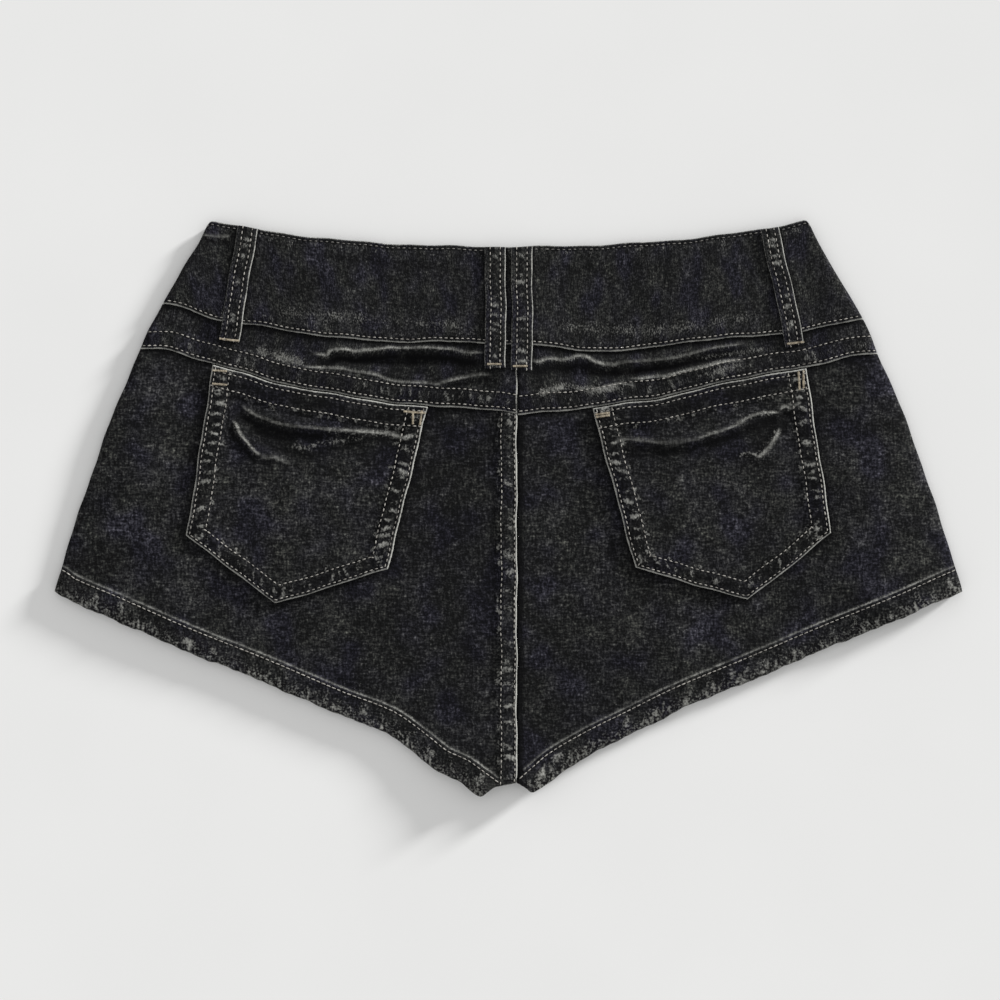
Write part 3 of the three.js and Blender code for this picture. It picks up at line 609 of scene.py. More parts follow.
def lines_across(kind_a, kind_b, length, step, wall, inner, marks_a=(), marks_b=()):
    """Lines across a piece as (share, offset): its place is share of the length plus offset."""
    a = stops(kind_a, wall, inner, marks_a)
    b = stops(kind_b, wall, inner, marks_b)
    count = max(int(round((length - a[-1] - b[-1]) / step)) - 1, 1)
    even = (np.arange(count) + 1) / (count + 1)
    share = [0] * len(a) + list(even) + [1] * len(b)
    offset = a + list(a[-1] * (1 - even) - b[-1] * even) + [-d for d in reversed(b)]
    return np.array(share, float), np.array(offset, float)


def shell(cloth, step=MESH_STEP, across_marks=((), ()), down_marks=((), ())):
    """A closed thin shell of the piece, with its wear, its stitch rows and its grain."""
    edge_wall = {}
    middle = 0.5
    spots = {"start": (0, middle), "end": (1, middle), "top": (middle, 0), "bottom": (middle, 1)}
    for edge, (u, v) in spots.items():
        edge_wall[edge] = float(cloth.wall(cloth.measure(u, v)))
    reach = cloth.measure(middle, middle)
    width = float(reach["start"] + reach["end"])
    length = float(reach["top"] + reach["bottom"])
    layers = []
    for inner in (False, True):
        cu, ou = lines_across(cloth.edges["start"], cloth.edges["end"], width, step,
                              edge_wall["start"], inner, *across_marks)
        cv, ov = lines_across(cloth.edges["top"], cloth.edges["bottom"], length, step,
                              edge_wall["bottom"], inner, *down_marks)
        guess = np.clip(cu + ou / width, 0, 1)[:, None]
        m = cloth.measure(guess, middle)
        v = np.clip(cv[None, :] + ov[None, :] / (m["top"] + m["bottom"]), 0, 1)
        m = cloth.measure(middle, v)
        u = np.clip(cu[:, None] + ou[:, None] / (m["start"] + m["end"]), 0, 1)
        layers.append(cloth.lay(u, v, inner))
    return build_shell(cloth, layers)


def build_shell(cloth, layers):
    columns, rows = layers[0][0]["x"].shape
    points = [np.stack([m["x"], m["y"], z], -1).reshape(-1, 3) for m, z, _ in layers]
    outer, inner = np.arange(2 * columns * rows).reshape(2, columns, rows)
    flip = points[0][(columns // 2 + 1) * rows][0] < points[0][(columns // 2) * rows][0]
    if cloth.front:
        flip = not flip

    def quads(grid, turn):
        q = np.stack([grid[:-1, :-1], grid[:-1, 1:], grid[1:, 1:], grid[1:, :-1]], -1).reshape(-1, 4)
        return q[:, ::-1] if turn else q

    def rim(a, b, turn):
        q = np.stack([a[:-1], a[1:], b[1:], b[:-1]], -1)
        return q[:, ::-1] if turn else q

    faces = np.concatenate([
        quads(outer, flip), quads(inner, not flip),
        rim(outer[:, 0], inner[:, 0], flip), rim(outer[:, -1], inner[:, -1], not flip),
        rim(outer[0], inner[0], not flip), rim(outer[-1], inner[-1], flip),
    ])
    mesh = bpy.data.meshes.new(cloth.name)
    mesh.from_pydata((np.concatenate(points) * MM).tolist(), [], faces.tolist())
    inside = np.zeros(len(faces), int)
    inside[len(faces[: (columns - 1) * (rows - 1)]): 2 * (columns - 1) * (rows - 1)] = 1
    mesh.polygons.foreach_set("material_index", inside)
    # One of these attributes holds painted shade, put into the colour where shade falls
    for name in ("wear", "dark", "rim", "line", "crest", "row", "fade"):
        values = [seen[name].ravel() for _, _, seen in layers]
        attribute = mesh.attributes.new(name, "FLOAT", "POINT")
        attribute.data.foreach_set("value", np.concatenate(values).astype(np.float32))
    grain = []
    for m, _, _ in layers:
        pair = (m["x"], m["y"]) if cloth.grain else (m["start"] - m["end"], -m["top"])
        grain.append(np.stack(pair, -1).reshape(-1, 2) * MM)
    loops = np.empty(len(mesh.loops), int)
    mesh.loops.foreach_get("vertex_index", loops)
    uv = mesh.uv_layers.new(name="grain")
    uv.data.foreach_set("uv", np.concatenate(grain)[loops].astype(np.float32).ravel())
    clean = bmesh.new()
    clean.from_mesh(mesh)
    bmesh.ops.remove_doubles(clean, verts=clean.verts, dist=2e-6)
    bmesh.ops.dissolve_degenerate(clean, edges=clean.edges, dist=1e-7)
    clean.to_mesh(mesh)
    clean.free()
    mesh.shade_smooth()
    obj = bpy.data.objects.new(cloth.name, mesh)
    bpy.context.scene.collection.objects.link(obj)
    return obj


def flat_wall(thick):
    return lambda m: np.full(m["x"].shape, float(thick))


def step_down(distance, depth):
    """1 within a turned edge's depth, 0 past it."""
    return 1 - smooth((distance - depth) / STEP)


def worn_edge(got, distance, s, strength, seed):
    """Marks an edge as rubbed bright, unevenly along s."""
    uneven = strength * (0.55 + 0.45 * ragged(s, 5, seed))
    got["rim"] = np.minimum(got["rim"], distance + 1.5 * (1 - uneven))


def rub(got, amount):
    got["wear"] = np.maximum(got["wear"], amount)


# Painted shade: raises how much shade is painted into the colour, where shade falls on the cloth
def shade(got, amount):
    got["dark"] = np.maximum(got["dark"], amount)


def groove(distance):
    """How the stitches of a row draw the cloth in."""
    return -0.3 * bell(distance, 0.9)


def painted_shadow_beside(m, outline, reach):
    """Painted shadow: 1 along the outside of another piece that lies on this one, to 0 at reach from it."""
    distance, _, _ = near_line(m["x"], m["y"], outline, reach)
    return 1 - smooth(distance / reach)


def loop_outline(name):
    (top_x, top_y), (foot_x, foot_y), width, _ = LOOPS[name]
    half = width / 2
    return Line([(top_x - half, top_y), (foot_x - half, foot_y),
                 (foot_x + half, foot_y), (top_x + half, top_y)])


def pocket_outline(side):
    shape, sign = POCKET[side], SIGN[side]
    top = [(sign * shape[k], float(between(YOKE, "x", side, shape[k]))) for k in ("outer_top", "inner_top")]
    low = [(sign * shape[k][0], shape[k][1]) for k in ("outer_bottom", "point", "inner_bottom")]
    return Line([top[0], *low, top[1]])


def band_marks(m):
    s = m["x"] + 300
    got = creases("band", m)
    pucker = rungs(s, m["bottom"] - 5, 3.4, 5.2, 3)
    got["height"] += groove(m["top"] - EDGE_ROW) + groove(m["bottom"] - EDGE_ROW) + 0.16 * pucker
    rub(got, 0.3 * pucker)
    rub(got, 0.35 * rungs(s, m["top"] - 4.5, 2.4, 6, 7))
    worn_edge(got, m["bottom"], s, 0.95, 5)
    worn_edge(got, m["top"], s, 0.6, 6)
    # Painted shadow on the band along both sides of each belt loop
    for name in LOOPS:
        shade(got, 0.8 * painted_shadow_beside(m, loop_outline(name), 3))
    return got


def yoke_marks(side):
    def marks(m):
        s = m["x"] + 300
        got = creases("yoke", m)
        strip = bell(m["bottom"] - 6.7, 4.2)
        pucker = rungs(s, m["bottom"] - 6.7, 3.8, 5.4, 11)
        got["height"] += groove(m["bottom"] - EDGE_ROW) + groove(m["bottom"] - EDGE_ROW - SECOND_ROW)
        got["height"] += 0.3 * pucker
        # Painted shade in the stitched strip, between the pucker crests
        shade(got, 0.6 * strip * (1 - pucker) * ragged(s, 16, 14))
        rub(got, 0.6 * pucker * ragged(s, 23, 15))
        worn_edge(got, m["bottom"], s, 1.0, 12)
        # Painted shadow under the waistband's lower edge
        shade(got, 0.85 * bell(m["top"], 2.8))
        if side == "left":
            worn_edge(got, m["end"], m["y"] + 300, 0.95, 13)
        else:
            # Painted shadow along the centre seam, cast by the edge of the left yoke's felled strip
            shade(got, 0.8 * bell(m["end"], 4))
        # Painted shadow along both sides of each belt loop
        for name in LOOPS:
            shade(got, 0.8 * painted_shadow_beside(m, loop_outline(name), 3.5))
        return got

    return marks


def leg_line(side):
    """The opening of a leg, which runs straight on past its tip."""
    x = np.linspace(side_x(HEM_SIDE), LEG_FROM, 90)
    y = between(HEM, "x", side, x)
    slope = (y[-1] - between(HEM, "x", side, LEG_FROM - 8)) / 8
    x = np.append(x, 0)
    y = np.append(y, y[-1] - slope * LEG_FROM)
    return Line(np.stack([SIGN[side] * x, y], -1))


def panel_marks(side):
    def marks(m):
        x, y, s = m["x"], m["y"], m["start"]
        up, leg = m["bottom"], m["leg"]
        got = look(m)
        seed = 21 if side == "left" else 22
        beyond = smooth((m["end"] - (CENTRE_FELL if side == "left" else 3)) / 1.2)
        in_hem = step_down(leg, TURNED_HEM) * beyond
        roping = rungs(s + 0.5 * leg, leg - 7, 7, 8.5, seed)
        strokes = rungs(s + 0.15 * leg, leg - 7, 6, 19, seed + 50) ** 2
        got["height"] += in_hem * (0.45 * roping + 0.2 * strokes) + groove(leg - HEM_ROW) * beyond
        got["height"] += 0.35 * bell(leg - HEM_ROW - 2.4, 1.1) * beyond
        # Painted shade in the hem's troughs between the roping crests
        shade(got, 0.4 * in_hem * (1 - roping) * ragged(s + leg, 7, seed + 60))
        rub(got, 0.38 * roping * in_hem * ragged(s - 2 * leg, 4, seed + 70))
        rub(got, 0.66 * in_hem * strokes)
        rub(got, 0.75 * rungs(s, leg - 1.5, 5.5, 4, seed + 80) * beyond)
        rub(got, 0.24 * bell(leg, 9) * beyond)
        got["line"] = (HEM_ROW + 2.1 - leg) / 0.6
        near = 1 - smooth((np.abs(got["line"]) - 1.8) / 1.6)
        got["crest"] = (0.1 + 0.65 * ragged(s, 5, seed + 3) * ragged(s, 42, seed + 4)) * near * beyond
        worn_edge(got, up, s, 0.62, 24)
        ease = rungs(s, leg - HEM_ROW - 4.5, 4, 6.5, 23) * beyond
        got["height"] += 0.18 * ease
        # Painted shade in a band above the hem's stitches, among the eased puckers
        shade(got, 0.4 * bell(leg - HEM_ROW - 6, 3) * ragged(s, 12, 33) * beyond)
        rub(got, 0.16 * ease)
        # Painted shadow under the yoke's lower edge
        shade(got, 0.75 * bell(m["top"], 3))
        # Painted shadow round the outside of the pocket that lies on this panel
        shade(got, 0.75 * painted_shadow_beside(m, pocket_outline(side), 5))
        if side == "left":
            across = m["end"]
            pucker = rungs(y + 300, across - 5.4, 4, 6.2, 25)
            got["height"] += sum(groove(across - d) for d in CENTRE_ROWS) + 0.25 * pucker
            # Painted shade in the felled strip, between its pucker crests
            shade(got, 0.25 * bell(across - 5.4, 3.2) * (1 - pucker))
            rub(got, 0.72 * pucker)
            rub(got, 0.6 * rungs(y + 300, across - 11, 1.6, 9, 28))
            worn_edge(got, across, y + 300, 1.0, 26)
            # Painted shade in a band just past the felled strip
            shade(got, 0.3 * bell(across - 14.5, 2.2))
        else:
            # Painted shadow along the centre seam, cast by the edge of the left side's felled strip
            shade(got, 0.85 * (1 - smooth((m["end"] - 2.6) / 2.6)))
        return got

    return marks


def pocket_marks(m):
    got = creases("pocket", m)
    seed = 31 if m["x"].mean() < 0 else 35
    for n, (edge, s) in enumerate((("start", m["y"]), ("end", m["y"]), ("bottom", m["x"]), ("top", m["x"]))):
        d, s = m[edge], s + 300
        first, gap = (3, 9.4) if edge == "top" else (EDGE_ROW, SECOND_ROW)
        got["height"] += groove(d - first) + groove(d - first - gap)
        strength = {"start": 0.6, "end": 0.6, "bottom": 0.4, "top": 0.1}[edge]
        pucker = rungs(s, d - first - 0.5 * gap, 3.8, 5.6, seed + n)
        got["height"] += 0.5 * strength * pucker
        # Painted shade between the two rows of stitches, except on the pucker crests
        shade(got, 0.8 * bell(d - first - gap / 2, 4) * (1 - pucker))
        rub(got, 1.22 * strength * pucker)
        worn_edge(got, d, s, {"start": 0.95, "end": 1.0, "bottom": 1.0, "top": 0.9}[edge], seed + 5 + n)
        rub(got, 0.5 * rungs(s, d - first - gap - 1.6, 2, 7, seed + 9 + n))
    return got


def loop_marks(seed):
    def marks(m):
        s = m["y"] + 300
        got = look(m, height=groove(m["start"] - LOOP_ROW) + groove(m["end"] - LOOP_ROW))
        worn_edge(got, m["end"], s, 0.78, seed)
        worn_edge(got, m["start"], s, 0.5, seed + 1)
        middle = (m["start"] + m["end"]) / 2
        pucker = rungs(s, m["start"] - middle, 3, 5.6, seed + 2)
        rub(got, 0.66 * pucker)
        rub(got, 0.4 * ragged(s, 9, seed + 4) * bell(m["start"] - 1.4, 0.9))
        # Painted shade down the loop's middle, between the pucker crests
        shade(got, 0.55 * (1 - pucker) * bell(m["start"] - middle, 3.4))
        got["height"] += 0.15 * pucker
        return got

    return marks


def front_marks(m):
    """The hidden side: the same sewing, pressed into the cloth by the surface it lies on."""
    s, up = m["start"], m["bottom"]
    in_hem = step_down(up, TURNED_HEM)
    roping = ladder(s + 0.8 * up, 10.5, 61)
    got = look(m, height=groove(up - HEM_ROW) - 0.25 * (1 - roping) * in_hem)
    rub(got, 0.34 * roping * in_hem * bell(up - 4, 5))
    rub(got, 0.6 * ragged(s, 2.6, 62) ** 2 * bell(up - 1, 2.6))
    whiskers = ladder(m["y"] + 0.35 * np.abs(m["x"]) + 300, 14, 63)
    rub(got, 0.3 * whiskers * bell(np.abs(m["x"]) - 110, 60) * bell(m["y"] - 10, 45))
    worn_edge(got, m["end"], m["y"] + 300, 0.9, 64)
    worn_edge(got, up, s, 0.55, 65)
    return got


def front_band_marks(m):
    s = m["x"] + 300
    got = look(m, height=groove(m["top"] - EDGE_ROW) + groove(m["bottom"] - EDGE_ROW))
    worn_edge(got, m["top"], s, 0.6, 66)
    worn_edge(got, m["end"], m["y"] + 300, 0.8, 67)
    return got


def middle_x(side):
    return -CENTRE_EDGE if side == "left" else CENTRE_EDGE + GAP


def back_waistband():
    def across(rows, left_x, right_x):
        left = seam_line(rows, "left", left_x, 0).points
        right = seam_line(rows, "right", right_x, 0).points[::-1]
        return Line(np.concatenate([left, right[1:]]))

    top = across(WAIST, WAIST_CORNER[0], WAIST_CORNER[0])
    bottom = across(BAND, side_x(BAND_SIDE["left"]), side_x(BAND_SIDE["right"]))
    ends = [side_line(side, WAIST_CORNER[1], BAND_SIDE[side]) for side in ("left", "right")]
    edges = {"start": "fold", "end": "fold", "top": "round", "bottom": "round"}
    return Cloth("back_waistband", patch(top, bottom, *ends), lambda m: back_lie(m["x"], m["y"]),
                 flat_wall(BAND_WALL), edges, band_marks, grain=False,
                 rows=[("top", EDGE_ROW), ("bottom", EDGE_ROW)])


def back_yoke(side):
    from_top, from_bottom = side_x(BAND_SIDE[side] - GAP), side_x(YOKE_SIDE[side])
    top = seam_line(BAND, side, from_top, max(middle_x(side), 0), -GAP)
    bottom = seam_line(YOKE, side, from_bottom, middle_x(side))
    end_x = bottom.points[-1][0]
    top = Line(np.concatenate([top.points, [[end_x, top.points[-1][1]]]]))
    plan = patch(top, bottom, side_line(side, BAND_SIDE[side] - GAP, YOKE_SIDE[side]),
                 Line([top.points[-1], bottom.points[-1]]))
    edges = {"start": "fold", "end": "round" if side == "left" else "butt",
             "top": "butt", "bottom": "round"}

    def wall(m):
        thick = step_down(m["bottom"], YOKE_FELL)
        if side == "left":
            thick = np.maximum(thick, step_down(m["end"], CENTRE_FELL))
        return CLOTH + (FELL_WALL - CLOTH) * thick

    rows = [("bottom", EDGE_ROW), ("bottom", EDGE_ROW + SECOND_ROW)]
    return Cloth(f"back_yoke_{side}", plan,
                 lambda m: back_lie(m["x"], m["y"]) + fold_height("yoke", m["x"], m["y"]),
                 wall, edges, yoke_marks(side), grain=False, rows=rows)


def back_panel(side):
    top = seam_line(YOKE, side, side_x(YOKE_SIDE[side] - GAP), middle_x(side), -GAP)
    bottom = seam_line(HEM, side, side_x(HEM_SIDE), middle_x(side))
    plan = patch(top, bottom, side_line(side, YOKE_SIDE[side] - GAP, HEM_SIDE),
                 Line([top.points[-1], bottom.points[-1]]))
    edges = {"start": "fold", "end": "round" if side == "left" else "butt",
             "top": "butt", "bottom": "round"}

    def wall(m):
        thick = CLOTH + (HEM_WALL - CLOTH) * step_down(m["leg"], TURNED_HEM)
        if side == "left":
            strip = CLOTH + (FELL_WALL - CLOTH) * step_down(m["end"], CENTRE_FELL)
            thick = np.maximum(thick, strip)
        return thick

    rows = [("leg", HEM_ROW)]
    if side == "left":
        rows += [("end", d) for d in CENTRE_ROWS]
    return Cloth(f"back_panel_{side}", plan, lambda m: back_lie(m["x"], m["y"]), wall, edges,
                 panel_marks(side), rows=rows, leg=leg_line(side))


def back_pocket(side):
    shape, sign = POCKET[side], SIGN[side]
    top = seam_line(YOKE, side, shape["outer_top"], shape["inner_top"], -2 * GAP)
    corners = [(sign * x, y) for x, y in (shape["outer_bottom"], shape["point"], shape["inner_bottom"])]
    plan = patch(top, Line(corners), Line([top.points[0], corners[0]]), Line([top.points[-1], corners[2]]))

    def wall(m):
        turned = step_down(np.minimum(np.minimum(m["start"], m["end"]), m["bottom"]), POCKET_TURN)
        thick = np.maximum(turned, step_down(m["top"], POCKET_HEM))
        return CLOTH + (FELL_WALL - CLOTH) * thick

    def under(m):
        return back_lie(m["x"], m["y"]) + CLOTH + GAP + fold_height("pocket", m["x"], m["y"])

    rows = [(edge, d) for edge in ("start", "end", "bottom") for d in (EDGE_ROW, EDGE_ROW + SECOND_ROW)]
    rows += [("top", d) for d in POCKET_TOP_ROWS]
    return Cloth(f"back_pocket_{side}", plan, under, wall,
                 ALL_ROUND, pocket_marks, rows=rows)


def belt_loop(name):
    top, foot, width, rest = LOOPS[name]
    a, b = np.array(top, float), np.array(foot, float)
    down = (b - a) / np.hypot(*(b - a))
    across = np.array([-down[1], down[0]])
    corner = {(end, k): p + k * width * across for end, p in (("a", a), ("b", b)) for k in (-0.5, 0.5)}
    plan = patch(Line([corner["a", -0.5], corner["a", 0.5]]), Line([corner["b", -0.5], corner["b", 0.5]]),
                 Line([corner["a", -0.5], corner["b", -0.5]]), Line([corner["a", 0.5], corner["b", 0.5]]))
    seam = float(between(BAND, "x", "left" if a[0] < 0 else "right", abs(b[0])))
    length = float(np.hypot(*(b - a)))

    def under(m):
        past = (seam - m["y"]) / (a[1] - b[1]) * length
        level = BAND_WALL + (rest - BAND_WALL) * np.clip((past - 2) / 3, 0, 1)
        return back_lie(m["x"], m["y"]) + level + GAP

    return Cloth(name, plan, under, flat_wall(CLOTH), ALL_ROUND,
                 loop_marks(70 + 3 * list(LOOPS).index(name)), grain=False,
                 rows=[("start", LOOP_ROW), ("end", LOOP_ROW)])


def front_waist_y(side, x):
    return between(WAIST, "x", side, np.abs(x)) - FRONT_DIP * (1 - (x / WAIST_CORNER[0]) ** 2)


def front_band_y(side, x):
    at_side = BAND_SIDE[side]
    at_middle = front_waist_y(side, 0) - FRONT_BAND
    return at_middle + (at_side - at_middle) * (x / side_x(at_side)) ** 2


def front_band_plan(side):
    end = -BAND_END if side == "left" else BAND_END + GAP
    top = cross_line(side, WAIST_CORNER[0], end, lambda x: front_waist_y(side, x))
    bottom = cross_line(side, side_x(BAND_SIDE[side]), end, lambda x: front_band_y(side, x))
    return patch(top, bottom, side_line(side, WAIST_CORNER[1], BAND_SIDE[side]),
                 Line([top.points[-1], bottom.points[-1]]))


def front_waistband(side):
    def lift(m):
        from_button = np.hypot(m["x"] - BUTTON_X, m["y"] - BUTTON_Y) - BUTTON_CLEAR
        over_button = (BUTTON_THICK + GAP) * np.clip(1 - from_button / BUTTON_BLEND, 0, 1)
        from_loop = np.abs(m["u"] - LOOP_SHARE) - LOOP_HALF * 1.3
        over_loop = (LOOP_WALL + GAP) * np.clip(1 - from_loop / LOOP_HALF, 0, 1)
        return np.maximum(over_button, over_loop)

    edges = {"start": "fold", "end": "round", "top": "round", "bottom": "butt"}
    return Cloth(f"front_waistband_{side}", front_band_plan(side), lift, flat_wall(BAND_WALL), edges,
                 front_band_marks, front=True, grain=False,
                 rows=[("top", EDGE_ROW), ("bottom", EDGE_ROW), ("end", EDGE_ROW)])


def front_belt_loop(side):
    plan = front_band_plan(side)

    def strip(u, v):
        u, v = np.asarray(u, float), np.asarray(v, float)
        return plan(LOOP_SHARE - LOOP_HALF + 2 * LOOP_HALF * u, 0.01 + 0.98 * v)

    return Cloth(f"front_belt_loop_{side}", strip, lambda m: np.zeros(m["x"].shape), flat_wall(LOOP_WALL),
                 ALL_ROUND, front_loop_marks,
                 front=True, grain=False, rows=[("start", LOOP_ROW), ("end", LOOP_ROW)])


def front_loop_marks(m):
    got = look(m, height=groove(m["start"] - LOOP_ROW) + groove(m["end"] - LOOP_ROW))
    worn_edge(got, m["start"], m["y"] + 300, 0.8, 68)
    worn_edge(got, m["end"], m["y"] + 300, 0.8, 69)
    return got


def front_panel(side):
    end = -FLY_EDGE if side == "left" else FLY_EDGE + GAP

    def hem_y(x):
        share = np.clip((x - TIP[side]) / (side_x(HEM_SIDE) - TIP[side]), 0, 1)
        return between(HEM, "x", side, x) + FRONT_HEM_RISE * np.sin(np.pi * share)

    top = cross_line(side, side_x(BAND_SIDE[side] - GAP), end, lambda x: front_band_y(side, x) - GAP)
    bottom = cross_line(side, side_x(HEM_SIDE), end, hem_y)
    plan = patch(top, bottom, side_line(side, BAND_SIDE[side] - GAP, HEM_SIDE),
                 Line([top.points[-1], bottom.points[-1]]))

    def wall(m):
        return CLOTH + (HEM_WALL - CLOTH) * step_down(m["bottom"], HEM_DEPTH)

    edges = {"start": "fold", "end": "round", "top": "butt", "bottom": "round"}
    return Cloth(f"front_panel_{side}", plan, lambda m: curl(m["x"], m["y"]), wall, edges, front_marks,
                 front=True, rows=[("bottom", HEM_ROW)])


def fly_shield():
    radius = (SHIELD_TO - SHIELD_FROM) * 0.6
    t = np.linspace(0, 1, 12)[:, None]
    corner = np.array([SHIELD_FROM, SHIELD_BOTTOM], float)
    above, beyond = corner + [0, radius], corner + [radius, 0]
    curve = (1 - t) ** 2 * above + 2 * t * (1 - t) * corner + t**2 * beyond
    bottom = Line(np.concatenate([curve, [[SHIELD_TO, SHIELD_BOTTOM]]]))
    top = Line([(SHIELD_FROM, SHIELD_TOP), (SHIELD_TO, SHIELD_TOP)])
    plan = patch(top, bottom, Line([top.points[0], bottom.points[0]]),
                 Line([top.points[1], bottom.points[-1]]))
    return Cloth("fly_shield", plan, lambda m: np.full(m["x"].shape, CLOTH + GAP), flat_wall(CLOTH),
                 ALL_ROUND, front=True)


def row_path(cloth, edge, distance, start=0.0, stop=1.0, step=1.2):
    """Points of a row of stitches along an edge of a piece, at a distance from it."""
    reach = cloth.measure(0.5, 0.5)
    level = edge in ("top", "bottom", "leg")
    along = reach["start"] + reach["end"] if level else reach["top"] + reach["bottom"]
    t = np.linspace(start, stop, max(int(along * abs(stop - start) / step), 3))
    u, v = (t, np.full(t.shape, 0.97)) if level else (np.full(t.shape, 0.5), t)
    for _ in range(6):
        m = cloth.measure(u, v)
        error = m[edge] - distance
        if edge in ("bottom", "leg"):
            v = np.clip(v + error / (m["top"] + m["bottom"]), 0, 1)
        elif edge == "top":
            v = np.clip(v - error / (m["top"] + m["bottom"]), 0, 1)
        elif edge == "start":
            u = np.clip(u - error / (m["start"] + m["end"]), 0, 1)
        else:
            u = np.clip(u + error / (m["start"] + m["end"]), 0, 1)
    if edge == "leg":
        sewn = (v < 0.99) & (np.abs(cloth.measure(u, v)["x"]) > 7)
        u, v = u[sewn], v[sewn]
    m, z, _ = cloth.lay(u, v)
    return np.stack([m["x"], m["y"], z], -1)


def tack_path(cloth, start, stop):
    """Points of a bar tack on a piece, between two places in plan."""
    count = max(int(np.hypot(stop[0] - start[0], stop[1] - start[1]) / 0.25), 4)
    aim = np.linspace(start, stop, count)
    u, v = np.full(count, 0.5), np.full(count, 0.5)
    step = 1e-3
    for _ in range(12):
        m, mu, mv = cloth.measure(u, v), cloth.measure(u + step, v), cloth.measure(u, v + step)
        ux, uy, vx, vy = ((n[k] - m[k]) / step for n in (mu, mv) for k in ("x", "y"))
        ex, ey = aim[:, 0] - m["x"], aim[:, 1] - m["y"]
        det = ux * vy - vx * uy
        u = np.clip(u + (ex * vy - ey * vx) / det, 0.005, 0.995)
        v = np.clip(v + (ey * ux - ex * uy) / det, 0.005, 0.995)
    m, z, _ = cloth.lay(u, v)
    return np.stack([m["x"], m["y"], z], -1)


def pocket_rows(cloth):
    """Both rows round a pocket's sides and bottom, turning at the corners, and two at the top."""
    paths = []
    for distance in (EDGE_ROW, EDGE_ROW + SECOND_ROW):
        reach = cloth.measure(0.5, 0.5)
        width, length = float(reach["start"] + reach["end"]), float(reach["top"] + reach["bottom"])
        inside_v, inside_u = distance / length, distance / width
        down = row_path(cloth, "start", distance, 0.02, 1 - inside_v * 1.15)
        over = row_path(cloth, "bottom", distance, inside_u, 1 - inside_u)
        up = row_path(cloth, "end", distance, 1 - inside_v * 1.15, 0.02)
        paths.append(np.concatenate([down, over, up]))
    for distance in POCKET_TOP_ROWS:
        paths.append(row_path(cloth, "top", distance, 0.01, 0.99))
    return paths


def thread_tree():
    """Short lengths of thread laid along curves, as a sewing machine leaves them."""
    tree = bpy.data.node_groups.new("rows of stitches", "GeometryNodeTree")
    face = tree.interface
    face.new_socket("Geometry", in_out="INPUT", socket_type="NodeSocketGeometry")
    for name, kind, value in (
        ("Pitch", "NodeSocketFloat", 0.0033), ("Length", "NodeSocketFloat", 0.0022),
        ("Width", "NodeSocketFloat", 0.0008), ("Height", "NodeSocketFloat", 0.0006),
        ("Turn", "NodeSocketFloat", 0.0), ("Seed", "NodeSocketInt", 1),
        ("Thread", "NodeSocketMaterial", None),
    ):
        socket = face.new_socket(name, in_out="INPUT", socket_type=kind)
        if value is not None:
            socket.default_value = value
    face.new_socket("Geometry", in_out="OUTPUT", socket_type="NodeSocketGeometry")
    given = add_node(tree, "NodeGroupInput").outputs
    points = add_node(tree, "GeometryNodeCurveToPoints",
                      {"Curve": given["Geometry"], "Length": given["Pitch"]}, mode="LENGTH")
    bead = add_node(tree, "GeometryNodeMeshUVSphere", {"Segments": 8, "Rings": 5, "Radius": 0.5})
    size = add_node(tree, "ShaderNodeCombineXYZ",
                    {"X": given["Length"], "Y": given["Width"], "Z": given["Height"]})
    stitch = add_node(tree, "GeometryNodeTransform",
                      {"Geometry": bead.outputs["Mesh"], "Scale": size.outputs["Vector"]})
    along = add_node(tree, "FunctionNodeAlignRotationToVector",
                     {"Vector": points.outputs["Tangent"]}, axis="X")
    upright = add_node(tree, "FunctionNodeAlignRotationToVector",
                       {"Rotation": along.outputs["Rotation"], "Vector": (0, 0, 1)}, axis="Z", pivot_axis="X")
    sway = add_node(tree, "FunctionNodeRandomValue",
                    {"Min": -0.07, "Max": 0.07, "Seed": given["Seed"]}, data_type="FLOAT")
    turn = add_node(tree, "ShaderNodeMath", {0: given["Turn"], 1: socket_of(sway, "FLOAT")}, operation="ADD")
    spin = add_node(tree, "ShaderNodeCombineXYZ", {"Z": turn.outputs[0]})
    turned = add_node(tree, "FunctionNodeRotateRotation",
                      {"Rotation": upright.outputs["Rotation"], "Rotate By": spin.outputs["Vector"]},
                      rotation_space="LOCAL")
    grow = add_node(tree, "FunctionNodeRandomValue",
                    {"Min": 0.85, "Max": 1.12, "Seed": given["Seed"]}, data_type="FLOAT")
    laid = add_node(tree, "GeometryNodeInstanceOnPoints",
                    {"Points": points.outputs["Points"], "Instance": stitch.outputs["Geometry"],
                     "Rotation": turned.outputs["Rotation"], "Scale": socket_of(grow, "FLOAT")})
    real = add_node(tree, "GeometryNodeRealizeInstances", {"Geometry": laid.outputs["Instances"]})
    round_off = add_node(tree, "GeometryNodeSetShadeSmooth", {"Geometry": real.outputs["Geometry"]})
    dyed = add_node(tree, "GeometryNodeSetMaterial",
                    {"Geometry": round_off.outputs["Geometry"], "Material": given["Thread"]})
    add_node(tree, "NodeGroupOutput", {"Geometry": dyed.outputs["Geometry"]})
    return tree


def add_node(tree, kind, sockets=None, **settings):
    """Adds a node with its settings, and links or sets its sockets."""
    node = tree.nodes.new(kind)
    for name, value in settings.items():
        setattr(node, name, value)
    for name, value in (sockets or {}).items():
        socket = node.inputs[name]
        if isinstance(value, bpy.types.NodeSocket):
            tree.links.new(value, socket)
        else:
            socket.default_value = value
    return node


def socket_of(node, kind):
    """The live output of a node that has one output for each type."""
    return next(s for s in node.outputs if s.enabled and s.type in (kind, "VALUE"))


